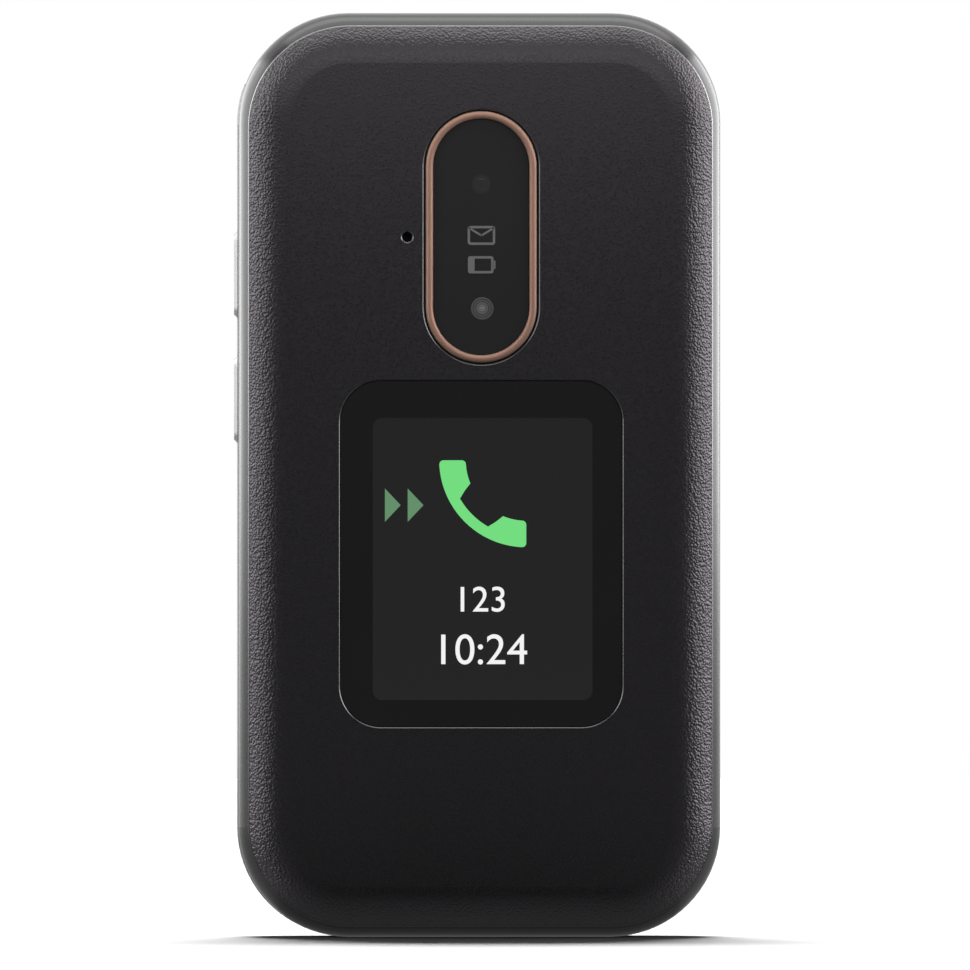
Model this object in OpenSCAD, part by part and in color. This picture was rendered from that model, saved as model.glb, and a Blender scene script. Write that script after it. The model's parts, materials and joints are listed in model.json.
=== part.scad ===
// Clamshell mobile phone, shown closed and standing on its lower end.
// X runs to the right, Y to the back and Z up to the hinge. The origin is the middle of the foot.
// The lid is in front of the parting plane and the keypad half is behind it.

/* [Body] */
// Height, from the foot to the crest of the lid
body_h = 105.5; // [103:0.5:110]
// Width across the two sides
body_w = 55; // [54:0.5:58]
// Thickness of the closed phone
body_t = 19; // [18.6:0.1:20]
// Thickness of the lid, to the middle of the parting gap
lid_t = 8; // [7.8:0.1:8.4]
// Radius of the four corners, seen from the front
corner_r = 12.5; // [12:0.25:13]
// Gap between the closed halves
parting_gap = 0.4; // [0.35:0.05:0.6]

/* [Shell] */
// Wall of the moulded housings
wall = 1.2; // [1:0.05:1.3]
// Thickness of the lid's grained skin and of the battery cover
skin_t = 0.8; // [0.7:0.05:1]
// Gap round a glued or lifted-in piece
seat_gap = 0.08; // [0.05:0.01:0.12]
// Radius of the polished rim's arc
rim_r = 4.75; // [4.5:0.25:5]
// Radius of the crown that runs from the rim to the flat face
crown_r = 6; // [5:0.25:6]
// Width of the rim beside the skin, seen from the front
rim_band = 1; // [1:0.05:1.2]
// Extra width of the rim at the upper end
top_band = 0.5; // [0.2:0.05:0.8]
// Extra width of the rim at the lower end
bottom_band = 0.25; // [0.1:0.05:0.6]
// Depth of the lid's inner housing at the side seam
lid_seam = 1.5; // [1.4:0.05:1.7]
// Depth of the keypad housing at the side seam
base_seam = 1.9; // [1.8:0.05:2.1]

/* [Hinge] */
// Distance of the hinge axis below the crest
hinge_drop = 5.5; // [5.3:0.1:5.8]
// Height that the barrel stays below the lid's outline
barrel_drop = 0.25; // [0.25:0.05:0.4]
// Gap between the barrel and the half that turns round it
hinge_gap = 0.2; // [0.15:0.05:0.3]
// Length of the middle knuckle, which belongs to the keypad half
knuckle_w = 25.8; // [24:0.2:28]
// Distance of the barrel's ends from the sides
barrel_side = 3.5; // [3:0.25:4.5]
// Angle between the halves when the lid is open
open_angle = 160; // [150:1:162]
// Angle of the lid's tail over the barrel, up from the front
tail_angle = 55; // [50:1:56]
// Free angle left between the lid's tail and its stop
stop_play = 1; // [0.5:0.5:3]
// Height of the hinge area, below the axis, that the frames close on their own
cheek_h = 7.3; // [7.1:0.1:7.4]
// Radius of the hinge module's can
module_r = 2.9; // [2.6:0.1:3.2]
// Length of the hinge module's can
module_l = 16; // [14:0.5:17]
// Radius of the cam's shaft
cam_shaft_r = 1.5; // [1.3:0.1:1.7]
// Side of the cam's square head
cam_head = 3.9; // [3.6:0.1:4.2]
// Length of the cam's square head
cam_head_l = 6; // [5:0.5:7]
// Outer radius of the hollow bush
bush_r = 2.4; // [2.2:0.1:2.6]
// Radius of the cable's way through the bush
bush_bore_r = 1.7; // [1.5:0.1:1.8]
// Length of the bush inside the lid's knuckle
bush_l = 7; // [6:0.5:8]
// Radial clearance of the turning fits
turn_gap = 0.05; // [0.03:0.01:0.08]

/* [Camera island] */
// Width of the ring
ring_w = 12.7; // [11:0.1:14]
// Height of the ring
ring_h = 28.7; // [27:0.1:30]
// Width of the ring's band
ring_band = 0.86; // [0.7:0.02:1.1]
// Height of the ring above the skin
ring_proud = 0.25; // [0.1:0.05:0.4]
// Groove between the ring and the skin
ring_groove = 0.2; // [0.15:0.05:0.35]
// Distance of the ring's middle below the crest
ring_drop = 25.6; // [25:0.1:26.5]
// Depth of the camera window below the skin
island_sink = 0.15; // [0.05:0.05:0.3]
// Thickness of the camera window
island_t = 0.65; // [0.5:0.05:0.7]
// Distance of the camera above the ring's middle
camera_rise = 6; // [5.5:0.1:6.5]
// Side of the camera's body
camera_w = 8; // [7:0.1:8.4]
// Distance of the flash light below the ring's middle
flash_fall = 8; // [7.5:0.1:8.4]
// Radius of the flash light's lens
flash_r = 1.35; // [1.1:0.05:1.6]
// Radius of the microphone hole in the skin
mic_r = 0.6; // [0.4:0.05:0.8]
// Distance of the microphone hole from the middle line
mic_x = 8.45; // [8:0.05:10]

/* [Outer display] */
// Width of the window
outer_w = 32.3; // [30:0.1:34]
// Height of the window
outer_h = 39.6; // [37:0.1:40]
// Corner radius of the window
outer_r = 4.7; // [4:0.1:6]
// Distance between the ring and the window
outer_drop = 2; // [1.5:0.1:2.6]
// Thickness of the window
outer_t = 0.75; // [0.6:0.05:0.8]
// Width of the display under the window
outer_display_w = 28.4; // [27:0.1:29]
// Height of the display under the window
outer_display_h = 36.6; // [34:0.1:37]
// Thickness of the display
outer_display_t = 1.9; // [1.7:0.05:2]

/* [Lid inside] */
// Width of the main window's margin beside it
inner_side = 3.4; // [3:0.1:4]
// Distance of the main window from the lid's free end
inner_low = 9.3; // [9:0.1:10]
// Distance of the main window from the hinge cheek
inner_high = 12.4; // [12:0.1:14]
// Thickness of the main window
inner_t = 0.75; // [0.6:0.05:0.8]
// Corner radius of the main window
inner_r = 3; // [2:0.1:4]
// Thickness of the main display
main_display_t = 2.3; // [2:0.05:2.4]
// Margin of the main display inside its window
main_display_margin = 0.6; // [-0.8:0.1:1]
// Thickness of the lid's circuit board
lid_board_t = 0.6; // [0.5:0.05:0.7]
// Width of the earpiece's slot
ear_slot_w = 10; // [8:0.5:12]
// Height of the earpiece's slot
ear_slot_h = 1.6; // [1.2:0.1:2]
// Distance of the earpiece's middle from the lid's free end
ear_y = 5.2; // [5:0.1:5.4]
// Radius of the rubber bumpers
bumper_r = 2; // [1.8:0.1:2.2]
// Height of the bumpers above the inner face
bumper_proud = 0.3; // [0.2:0.05:0.3]
// Distance of the bumpers from the middle line
bumper_x = 15; // [14:0.5:16]

/* [Keypad] */
// Depth of the key field below the inner face
field_sink = 0.4; // [0.3:0.05:0.45]
// Distance between key columns
col_pitch = 15.4; // [15:0.1:16]
// Width of a key
key_w = 13.8; // [13:0.1:14.2]
// Gap between two rows of keys
row_gap = 1.7; // [1.4:0.1:2]
// Distance of the lowest keys from the lower end
field_low = 9.5; // [9:0.1:11]
// Corner radius of a key
key_r = 2.6; // [2:0.1:3.5]
// Gap round a key
key_gap = 0.15; // [0.1:0.01:0.25]
// Travel of a key
key_travel = 0.35; // [0.25:0.05:0.4]
// Radius of a key's crowned top
key_crown_r = 75; // [60:1:120]
// Width of the flange that holds a key behind the deck
key_flange_w = 0.5; // [0.4:0.05:0.6]
// Thickness of that flange
key_flange_t = 0.4; // [0.3:0.05:0.45]
// Length of a key's stem behind the flange
stem_l = 0.2; // [0.15:0.05:0.3]
// Radius of a key's stem
stem_r = 1.4; // [1:0.1:1.8]
// Radius of a metal dome
dome_r = 2.4; // [2:0.1:2.6]
// Height of a metal dome
dome_h = 0.14; // [0.1:0.01:0.16]
// Thickness of the dome sheet
sheet_t = 0.12; // [0.1:0.01:0.14]
// Thickness of the main board
board_t = 0.8; // [0.7:0.05:0.9]
// Distance of the main board's edges from the sides
board_side = 7.2; // [7:0.1:8.5]

/* [Side keys] */
// Length of a volume key
volume_l = 9.9; // [9:0.1:11]
// Height of a volume key, across the phone's thickness
volume_h = 2.2; // [1.8:0.1:2.4]
// Height of a volume key above the side
volume_proud = 0.4; // [0.3:0.05:0.5]
// Distance of the upper volume key's middle below the crest
volume_drop = 29.8; // [29:0.1:31]
// Distance between the two volume keys
volume_pitch = 14.3; // [13:0.1:15]
// Travel of a volume key
volume_travel = 0.35; // [0.25:0.05:0.4]

/* [Back] */
// Distance of the battery cover's upper edge below the hinge axis
cover_drop = 24; // [23:0.5:25]
// Distance of the assistance key's middle below the hinge axis
assist_drop = 16.5; // [16:0.1:17]
// Radius of the assistance key
assist_r = 6; // [5:0.1:6.2]
// Travel of the assistance key
assist_travel = 0.5; // [0.3:0.05:0.6]
// Radius of the curve that ends the back below the barrel
back_curve_r = 8; // [7:0.1:9]
// Distance of the battery bay from the sides
bay_side = 8.8; // [8.5:0.1:10]
// Distance of the battery bay from the lower end
bay_low = 7.5; // [7:0.1:8.5]
// Distance of the battery bay from the cover's upper edge
bay_high = 13.5; // [13:0.1:14.5]
// Gap round the battery
battery_gap = 0.3; // [0.2:0.05:0.4]
// Corner radius of the battery
battery_r = 1.5; // [1:0.1:2]
// Thickness of the bay's floor
bay_floor_t = 0.8; // [0.7:0.05:0.9]
// Distance of the loudspeaker from the side
speaker_side = 5.9; // [5.8:0.1:6.4]
// Distance between the assistance key and the loudspeaker
speaker_key_gap = 2.4; // [2:0.1:2.6]
// Radius of a loudspeaker hole
speaker_hole_r = 0.55; // [0.4:0.05:0.6]
// Distance between loudspeaker holes
speaker_pitch = 2.4; // [2.2:0.1:2.6]

/* [Sockets] */
// Bore radius of the headset socket
jack_r = 1.78; // [1.75:0.01:1.8]
// Depth of the headset socket
jack_l = 13; // [12:0.5:13.5]
// Outer radius of the headset socket's body
jack_body_r = 2.6; // [2.5:0.05:2.7]
// Distance of the headset socket below the assistance key's middle
jack_fall = 1.5; // [1:0.1:2]
// Outer height of the charging socket, along the side
usb_w = 8.9; // [8.8:0.05:9]
// Outer thickness of the charging socket
usb_t = 3.2; // [3.1:0.05:3.3]
// Depth of the charging socket
usb_l = 6.6; // [6:0.1:7]
// Distance of the charging socket's middle below the cover's upper edge
usb_drop = 18; // [17.5:0.1:18.5]

/* [Hidden] */
// Fineness of preview circles, and of arcs with a large radius
$fn = 96;
bow_fn = 256;
// A length beyond every face of the phone, for cuts
far = 60;

half_w = body_w / 2;
face = body_t / 2;
part_z = face - lid_t;
lid_in = part_z + parting_gap / 2;
base_in = parting_gap / 2 - part_z;
lid_split = lid_in + lid_seam;
base_split = base_in + base_seam;

// Outline: centres of the corners
corner_x = half_w - corner_r;
corner_lo = corner_r;
corner_hi = body_h - corner_r;

// Edge section: straight side, rim arc, crown arc, flat face. The arcs meet at a slope of 3 in 4
TURN = [0.8, 0.6];
side_top = face - 0.6 * rim_r - 0.4 * crown_r;
rim_x = corner_r - rim_r;
crown_x = rim_x - 0.8 * (crown_r - rim_r);
crown_z = face - crown_r;

// Hinge: the axis runs along X at this height, in the plane y = 0
axis_z = body_h - hinge_drop;
barrel_r = hinge_drop - barrel_drop;
barrel_w = body_w - 2 * barrel_side;
cheek_y = axis_z - cheek_h;
stop_angle = tail_angle + open_angle + stop_play - 180;
knuckle_end = knuckle_w / 2 + hinge_gap / 2;
module_end = knuckle_w / 2 - hinge_gap / 2;
module_start = module_end - module_l;
bush_end = -knuckle_end - bush_l;

// Lid stack, measured forward from the hinge plane
skin_back = face - skin_t;
shell_back = skin_back - seat_gap - wall;
plate_z = lid_in + wall;
main_display_z = plate_z + seat_gap;
lid_board_z = main_display_z + main_display_t + seat_gap;
outer_display_z = skin_back - seat_gap - outer_display_t;
ring_y = body_h - ring_drop;
outer_y = ring_y - ring_h / 2 - outer_drop - outer_h / 2;
camera_y = ring_y + camera_rise;
flash_y = ring_y - flash_fall;
inner_y0 = inner_low;
inner_y1 = cheek_y - inner_high;
inner_w = body_w - 2 * inner_side;

// Base stack, measured back from the hinge plane
deck_z = base_in + field_sink;
deck_back = base_in + wall + 0.1;
key_top = base_in + 0.05;
flange_z = deck_back + 0.05;
stem_end = flange_z + key_flange_t + stem_l;
sheet_z = stem_end + key_travel + 0.05 + dome_h;
board_z = sheet_z + sheet_t;
board_w = body_w - 2 * board_side;
floor_z = board_z + board_t + 0.2;
bay_z = floor_z + bay_floor_t;
bay_w = body_w - 2 * bay_side;
battery_z1 = skin_back - 0.5;
field_hi = cheek_y - 1.6;
row_pitch = (field_hi - field_low) / 7;
key_h = row_pitch - row_gap;
cover_y = axis_z - cover_drop;
bay_y0 = bay_low;
bay_y1 = cover_y - bay_high;
assist_y = axis_z - assist_drop;
room_y0 = cover_y + wall;
volume_z = (base_split + side_top) / 2;
jack_y = assist_y - jack_fall;
jack_z = board_z + board_t + 0.1 + jack_body_r;
jack_x = half_w - 1.8;
usb_y = cover_y - usb_drop;
usb_z = base_split + 1.9;
speaker_w = half_w - speaker_side - assist_r - speaker_key_gap;
speaker_h = 10.5;
speaker_x = assist_r + speaker_key_gap + speaker_w / 2;
speaker_y = assist_y - 0.5;
// Width, height and thickness of the pieces on the back of the main board, and the room round them
SIM_SIZE = [15.6, 9.6, 1.5];
CAN_SIZE = [11.6, 6, 1.3];
part_room = 0.8;
// Screws of the rear housing, in the corners of the battery bay's frame
SCREWS = [for (m = [-1, 1], y = [corner_lo - 0.5, body_h - volume_drop - volume_pitch / 2]) [m * (half_w - 2.9), y]];
screw_seat = 5;
NUMBER_KEYS = ["key_1", "key_2", "key_3", "key_4", "key_5", "key_6",
               "key_7", "key_8", "key_9", "key_star", "key_0", "key_hash"];

BLACK = [0.13, 0.13, 0.14];
GREY = [0.35, 0.35, 0.37];
ROSE = [0.72, 0.47, 0.36];
GLASS = [0.04, 0.04, 0.05];
BOARD = [0.1, 0.3, 0.2];
STEEL = [0.7, 0.7, 0.72];
GOLD = [0.8, 0.65, 0.3];

// ---- Helpers ----

function key_x(col) = (col - 1) * col_pitch;
function row_y(row) = field_hi - (row + 0.5) * row_pitch;

// The lid's pieces are drawn x right, y up and z forward, from the hinge plane
module on_lid() { rotate([90, 0, 0]) children(); }

// The base's pieces are drawn x right, y up and z back, from the hinge plane
module on_base() { mirror([0, 1, 0]) rotate([90, 0, 0]) children(); }

// Runs a shape drawn in the plane of y and z along x, over a width centred on the middle line
module along_x(w) { rotate([90, 0, 90]) translate([0, 0, -w / 2]) linear_extrude(w) children(); }

// A shape turned round the hinge axis, drawn with x as the radius and y along the axis
module round_axis() { translate([0, axis_z, 0]) rotate([0, 90, 0]) rotate_extrude() children(); }

// A straight shaft on the hinge axis
module axis_rod(r, x0, x1) { translate([x0, axis_z, 0]) rotate([0, 90, 0]) cylinder(r = r, h = x1 - x0); }

module brick(w, h, z0, z1) { translate([-w / 2, -h / 2, z0]) cube([w, h, z1 - z0]); }

module stadium(w, h) {
    translate([-w / 2, (w - h) / 2]) square([w, h - w]);
    for (s = [-1, 1]) translate([0, s * (h - w) / 2]) circle(w / 2);
}

module rounded(w, h, r) {
    translate([-w / 2, r - h / 2]) square([w, h - 2 * r]);
    translate([r - w / 2, -h / 2]) square([w - 2 * r, h]);
    for (x = [-1, 1], y = [-1, 1]) translate([x * (w / 2 - r), y * (h / 2 - r)]) circle(r);
}

module slug(w, h, r, z0, z1) { translate([0, 0, z0]) linear_extrude(z1 - z0) rounded(w, h, r); }

// Section of a half's edge: x runs from a corner's centre out to the side, y forward or back to the face
module edge_section(off, z_lo) {
    intersection() {
        translate([0, z_lo]) square([corner_r, far]);
        union() {
            translate([0, -far]) square([corner_r - off, far + side_top]);
            translate([0, -far]) square([crown_x, far + face - off]);
            intersection() {
                translate([rim_x, side_top]) circle(rim_r - off);
                polygon([[rim_x, side_top], [rim_x + far, side_top], [rim_x, side_top] + far * TURN]);
            }
            intersection() {
                translate([crown_x, crown_z]) circle(crown_r - off);
                polygon([[crown_x, crown_z], [crown_x, crown_z] + far * TURN, [crown_x, crown_z + far]]);
            }
        }
    }
}

// The form of a half inside its outer surface by off, from the depth z_lo to its crowned face
module slab(off, z_lo) {
    lap = 3;
    for (m = [0, 1]) mirror([m, 0, 0]) {
        translate([corner_x, corner_hi, 0]) rotate([90, 0, 0])
            linear_extrude(corner_hi - corner_lo) edge_section(off, z_lo);
        translate([corner_x, corner_hi, 0]) rotate_extrude(angle = 90) edge_section(off, z_lo);
        translate([corner_x, corner_lo, 0]) rotate([0, 0, -90]) rotate_extrude(angle = 90) edge_section(off, z_lo);
    }
    translate([-corner_x, corner_hi, 0]) rotate([90, 0, 90]) linear_extrude(2 * corner_x) edge_section(off, z_lo);
    translate([corner_x, corner_lo, 0]) rotate([90, 0, -90]) linear_extrude(2 * corner_x) edge_section(off, z_lo);
    translate([-corner_x - lap, corner_lo - lap, z_lo])
        cube([2 * (corner_x + lap), corner_hi - corner_lo + 2 * lap, face - off - z_lo]);
}

// Outline inside the phone's own by inset, with wider bands at the two ends
module outline(inset, top = 0, bottom = 0) {
    hi = corner_hi - top;
    lo = corner_lo + bottom;
    r = corner_r - inset;
    translate([-corner_x - r, lo]) square([2 * (corner_x + r), hi - lo]);
    translate([-corner_x, lo - r]) square([2 * corner_x, hi - lo + 2 * r]);
    for (x = [-corner_x, corner_x], y = [lo, hi]) translate([x, y]) circle(r);
}

// Layer of a half between two depths below its rim
module layer(inset, z0, z1) { translate([0, 0, z0]) linear_extrude(z1 - z0) outline(inset); }

// Solid of the skin's outline, through the whole depth of a half
module skin_prism(gap) {
    translate([0, 0, -far / 2]) linear_extrude(far) outline(rim_band + gap, top_band, bottom_band);
}

// Barrel round the hinge axis, whose ends follow the outline's corners
module barrel(x0, x1, grow) {
    round_axis() intersection() {
        translate([0, x0]) square([far, x1 - x0]);
        union() {
            translate([0, -corner_x]) square([barrel_r + grow, 2 * corner_x]);
            for (s = [-1, 1]) intersection() {
                translate([corner_hi - axis_z, s * corner_x]) circle(corner_r - barrel_drop + grow);
                translate([0, s > 0 ? corner_x : -far]) square([far, far - corner_x]);
            }
        }
    }
}

// What the lid leaves free behind its tail
module behind_tail() {
    along_x(2 * far) polygon([[axis_z, 0], [axis_z + far, 0],
        [axis_z + far * sin(tail_angle), far * cos(tail_angle)]]);
}

// What the base leaves free above its stop, beyond the curve that ends its back
module above_stop() {
    stop_r = barrel_r + hinge_gap + 1.5;
    end_z = stop_r * cos(stop_angle);
    end_y = axis_z - stop_r * sin(stop_angle);
    curve_z = face - back_curve_r + 0.08;
    curve_y = end_y - sqrt(pow(back_curve_r, 2) - pow(end_z - curve_z, 2));
    along_x(2 * far) {
        polygon([[axis_z, 0], [axis_z - far * sin(stop_angle), far * cos(stop_angle)],
                 [axis_z + far, far], [axis_z + far, -far], [axis_z, -far]]);
        difference() {
            translate([curve_y, curve_z]) square([far, far]);
            translate([curve_y, curve_z]) circle(back_curve_r, $fn = bow_fn);
        }
    }
}

// ---- Lid ----

module lid_frame() {
    x_end = barrel_w / 2;
    color(GREY) on_lid() difference() {
        union() {
            difference() {
                union() {
                    difference() {
                        slab(0, lid_in);
                        skin_prism(0);
                    }
                    slab(skin_t + seat_gap, lid_in);
                }
                difference() {
                    slab(skin_t + seat_gap + wall, plate_z);
                    axis_rod(barrel_r + hinge_gap + wall, -half_w, half_w);
                }
                translate([-far, -far, 0]) cube([2 * far, far + cheek_y, lid_split]);
                behind_tail();
                barrel(-knuckle_end, knuckle_end, hinge_gap);
            }
            for (s = [-1, 1]) barrel(s > 0 ? knuckle_end : -x_end, s > 0 ? x_end : -knuckle_end, 0);
            for (s = [-1, 1]) translate([s * bumper_x, ear_y, lid_split + 0.1])
                cylinder(r = 1.8, h = shell_back + 0.3 - lid_split);
        }
        for (s = [-1, 1]) translate([s * bumper_x, ear_y, lid_split - 1]) cylinder(r = 0.75, h = 4);
        frame_windows();
        hinge_sockets();
    }
}

module frame_windows() {
    translate([0, outer_y, plate_z]) slug(outer_display_w + 0.4, outer_display_h + 0.4, 1, 0, far);
    translate([0, ring_y, plate_z]) linear_extrude(far)
        stadium(ring_w - 2 * ring_band - 1.6, ring_h - 2 * ring_band - 1.6);
    translate([-mic_x, ring_y, plate_z]) cylinder(r = mic_r, h = far);
}

// Square socket for the cam on the right, round bore for the bush on the left, with the cable's way out
module hinge_sockets() {
    translate([knuckle_end - 1, axis_z - cam_head / 2, -cam_head / 2])
        cube([cam_head_l + 1 + seat_gap, cam_head, cam_head]);
    axis_rod(bush_r + turn_gap, bush_end - seat_gap, -knuckle_end + 1);
    axis_rod(bush_bore_r, bush_end - 2, bush_end + 1);
    translate([bush_end - 2, axis_z - 1, 0]) cube([1.8, 2, barrel_r + hinge_gap + wall + 0.2]);
}

module lid_cover() {
    color(BLACK) on_lid() difference() {
        intersection() {
            difference() {
                slab(0, side_top - 0.5);
                slab(skin_t, side_top - 1);
            }
            skin_prism(seat_gap);
        }
        translate([0, ring_y, 0]) linear_extrude(far) stadium(ring_w + 2 * ring_groove, ring_h + 2 * ring_groove);
        translate([0, outer_y, 0]) slug(outer_w + 2 * seat_gap, outer_h + 2 * seat_gap, outer_r + seat_gap, 0, far);
        translate([-mic_x, ring_y, 0]) cylinder(r = mic_r, h = far);
    }
}

module lid_inner_housing() {
    window_h = inner_y1 - inner_y0;
    window_y = (inner_y0 + inner_y1) / 2;
    inside = skin_t + wall + 2 * seat_gap;
    rib_w = 0.8;
    rib_h = 0.8;
    color(BLACK) on_lid() difference() {
        union() {
            below_cheek() layer(0, lid_in, lid_split);
            intersection() {
                layer(inside, lid_in, lid_split + rib_h);
                translate([-far, 0, 0]) cube([2 * far, cheek_y - 2, far]);
            }
        }
        layer(inside + rib_w, plate_z, far);
        translate([0, window_y, 0]) {
            slug(inner_w + 2 * seat_gap, window_h + 2 * seat_gap, inner_r, 0, lid_in + inner_t + seat_gap);
            slug(inner_w - 4, window_h - 6, 1, 0, far);
        }
        translate([0, ear_y, 0]) slug(ear_slot_w, ear_slot_h, ear_slot_h / 2 - 0.01, 0, far);
        for (s = [-1, 1]) translate([s * bumper_x, ear_y, 0]) {
            cylinder(r = bumper_r + seat_gap, h = lid_in + 0.6);
            cylinder(r = 1.38, h = lid_in + 1.1);
            cylinder(r = 0.75, h = far);
        }
    }
}

// Keeps what lies below the hinge cheek
module below_cheek() {
    intersection() {
        children();
        translate([-far, -far, -far]) cube([2 * far, far + cheek_y - seat_gap, 2 * far]);
    }
}

// Band with a rounded front, run round the two ends and the two straights
module camera_ring() {
    end_r = ring_w / 2;
    straight = ring_h - ring_w;
    z0 = skin_back - seat_gap;
    color(ROSE) on_lid() translate([0, ring_y, z0]) {
        for (s = [0, 1]) rotate([0, 0, 180 * s]) {
            translate([0, straight / 2, 0]) rotate_extrude(angle = 180)
                translate([end_r - ring_band, 0]) ring_section();
            translate([end_r - ring_band, straight / 2, 0]) rotate([90, 0, 0])
                linear_extrude(straight) ring_section();
        }
    }
}

module ring_section() {
    top = face + ring_proud - skin_back + seat_gap;
    soft = ring_band / 2;
    square([ring_band, top - soft]);
    translate([soft, top - soft]) intersection() {
        circle(soft);
        translate([-far, 0]) square([2 * far, far]);
    }
}

module camera_window() {
    color(GLASS) on_lid() translate([0, ring_y, face - island_sink - island_t]) linear_extrude(island_t)
        stadium(ring_w - 2 * ring_band - 2 * seat_gap, ring_h - 2 * ring_band - 2 * seat_gap);
}

module camera_module() {
    z1 = face - island_sink - island_t - seat_gap;
    color(GLASS) on_lid() translate([0, camera_y, 0]) {
        brick(camera_w, camera_w, z1 - 3.4, z1 - 0.8);
        difference() {
            translate([0, 0, z1 - 0.8]) cylinder(r = 2.8, h = 0.8);
            translate([0, 0, z1 - 0.5]) cylinder(r1 = 0.9, r2 = 2.3, h = 0.51);
        }
    }
}

module flash_light() {
    z1 = face - island_sink - island_t - seat_gap;
    color(STEEL) on_lid() translate([0, flash_y, 0]) {
        brick(3.4, 3.4, lid_board_z + lid_board_t, z1 - 0.6);
        translate([0, 0, z1 - 0.6]) cylinder(r = flash_r, h = 0.6);
    }
}

// Clear block that carries light from the board up to the two signs
module light_guide() {
    z1 = face - island_sink - island_t - seat_gap;
    sign_pitch = 3.4;
    color([0.8, 0.8, 0.8]) on_lid() translate([0, ring_y - 1.4, 0]) {
        brick(5, 2 * sign_pitch - 0.2, lid_board_z + lid_board_t, z1 - 1);
        for (s = [-1, 1]) translate([0, s * sign_pitch / 2, 0]) brick(3.6, 2.6, z1 - 1, z1);
    }
}

module outer_window() {
    color(GLASS) on_lid() translate([0, outer_y, 0]) {
        slug(outer_w, outer_h, outer_r, face - outer_t, face - 0.15);
        slug(outer_w - 0.3, outer_h - 0.3, outer_r - 0.15, face - 0.15, face);
    }
}

module outer_display() {
    z1 = face - outer_t - seat_gap;
    color(GLASS) on_lid() translate([0, outer_y, 0]) {
        slug(outer_display_w, outer_display_h, 0.6, z1 - outer_display_t, z1);
    }
}

module inner_window() {
    color(GLASS) on_lid() translate([0, (inner_y0 + inner_y1) / 2, 0])
        slug(inner_w, inner_y1 - inner_y0, inner_r - seat_gap, lid_in, lid_in + inner_t);
}

module main_display() {
    w = inner_w - 2 * main_display_margin;
    h = inner_y1 - inner_y0 - 2 * main_display_margin;
    color(GLASS) on_lid() translate([0, (inner_y0 + inner_y1) / 2, 0]) {
        slug(w, h, 1, main_display_z, main_display_z + main_display_t);
        slug(inner_w - 4.3, inner_y1 - inner_y0 - 6.3, 0.6, lid_in + inner_t + seat_gap, main_display_z);
    }
}

module lid_board() {
    y1 = camera_y - camera_w / 2 - 0.4;
    y0 = inner_y0 + 8;
    color(BOARD) on_lid() translate([0, (y0 + y1) / 2, 0]) {
        slug(inner_w - 6, y1 - y0, 1.5, lid_board_z, lid_board_z + lid_board_t);
        for (s = [-1, 1]) translate([s * 14, (y1 - y0) / 2 - 8, 0])
            brick(7, 6, lid_board_z + lid_board_t, lid_board_z + lid_board_t + 0.9);
    }
}

module earpiece() {
    color(STEEL) on_lid() translate([0, ear_y, 0]) {
        slug(12, 4, 1, plate_z, plate_z + 2);
        slug(ear_slot_w - 0.2, ear_slot_h - 0.2, ear_slot_h / 2 - 0.15, lid_in + 0.5, plate_z);
    }
}

module magnet() {
    color(STEEL) on_lid() translate([bumper_x - 6, ear_y, 0]) brick(2.4, 4, plate_z, plate_z + 1.5);
}

module bumpers() {
    color([0.05, 0.05, 0.05]) on_lid() for (s = [-1, 1]) translate([s * bumper_x, ear_y, lid_in - bumper_proud])
        cylinder(r = bumper_r, h = bumper_proud + 0.5);
}

module lid_screws() {
    color(STEEL) on_lid() for (s = [-1, 1]) translate([s * bumper_x, ear_y, lid_in + 0.6]) {
        difference() {
            cylinder(r = 1.3, h = 0.5);
            cylinder(r = 0.5, h = 0.3, $fn = 6);
        }
        translate([0, 0, 0.5]) cylinder(r = 0.7, h = 2.6);
    }
}

// ---- Base ----

module keypad_housing() {
    color(BLACK) on_base() difference() {
        union() {
            below_cheek() difference() {
                layer(0, base_in, base_split);
                layer(wall + seat_gap, deck_back, far);
            }
            for (p = SCREWS) translate([p[0], p[1], base_in + 0.5]) cylinder(r = 1.5, h = floor_z - base_in - 0.6);
        }
        translate([0, (field_low + field_hi) / 2, 0])
            slug(2 * col_pitch + key_w + 2, field_hi - field_low + 1, key_r + 1, -far / 2, deck_z);
        for (k = KEY_HOLES) translate([k[0], k[1], 0])
            slug(k[2] + 2 * key_gap, k[3] + 2 * key_gap, key_r + key_gap, -far / 2, far / 2);
        translate([0, field_low / 2, 0]) cylinder(r = mic_r, h = far, center = true);
        for (p = SCREWS) translate([p[0], p[1], deck_back - 0.2]) cylinder(r = 0.75, h = far);
    }
}

// Places and sizes of the keys: column 0 to 2, row 0 at the hinge
KEY_HOLES = concat(
    [[0, (row_y(0) + row_y(1)) / 2, key_w, row_pitch + key_h]],
    [for (r = [0, 1], c = [0, 2]) [key_x(c), row_y(r), key_w, key_h]],
    [for (s = [-1, 1]) [s * (col_pitch / 2 + 3.9), row_y(2), 1.5 * key_w + 1, key_h]],
    [for (r = [3:6], c = [0:2]) [key_x(c), row_y(r), key_w, key_h]]);

module keycap(k) {
    w = k[2];
    h = k[3];
    on_base() translate([k[0], k[1], 0]) {
        intersection() {
            slug(w, h, key_r, key_top, flange_z);
            translate([0, 0, key_top + key_crown_r]) rotate([90, 0, 0])
                cylinder(r = key_crown_r, h = far, center = true, $fn = bow_fn);
        }
        slug(w + 2 * key_flange_w, h + 2 * key_flange_w, key_r + key_flange_w, flange_z, flange_z + key_flange_t);
        translate([0, 0, flange_z + key_flange_t]) cylinder(r = stem_r, h = stem_l);
    }
}

module key_nav() {
    k = KEY_HOLES[0];
    color(GREY) difference() {
        keycap(k);
        on_base() translate([k[0], k[1], 0]) rotate_extrude() translate([4.6, key_top]) circle(0.22);
    }
}

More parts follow.
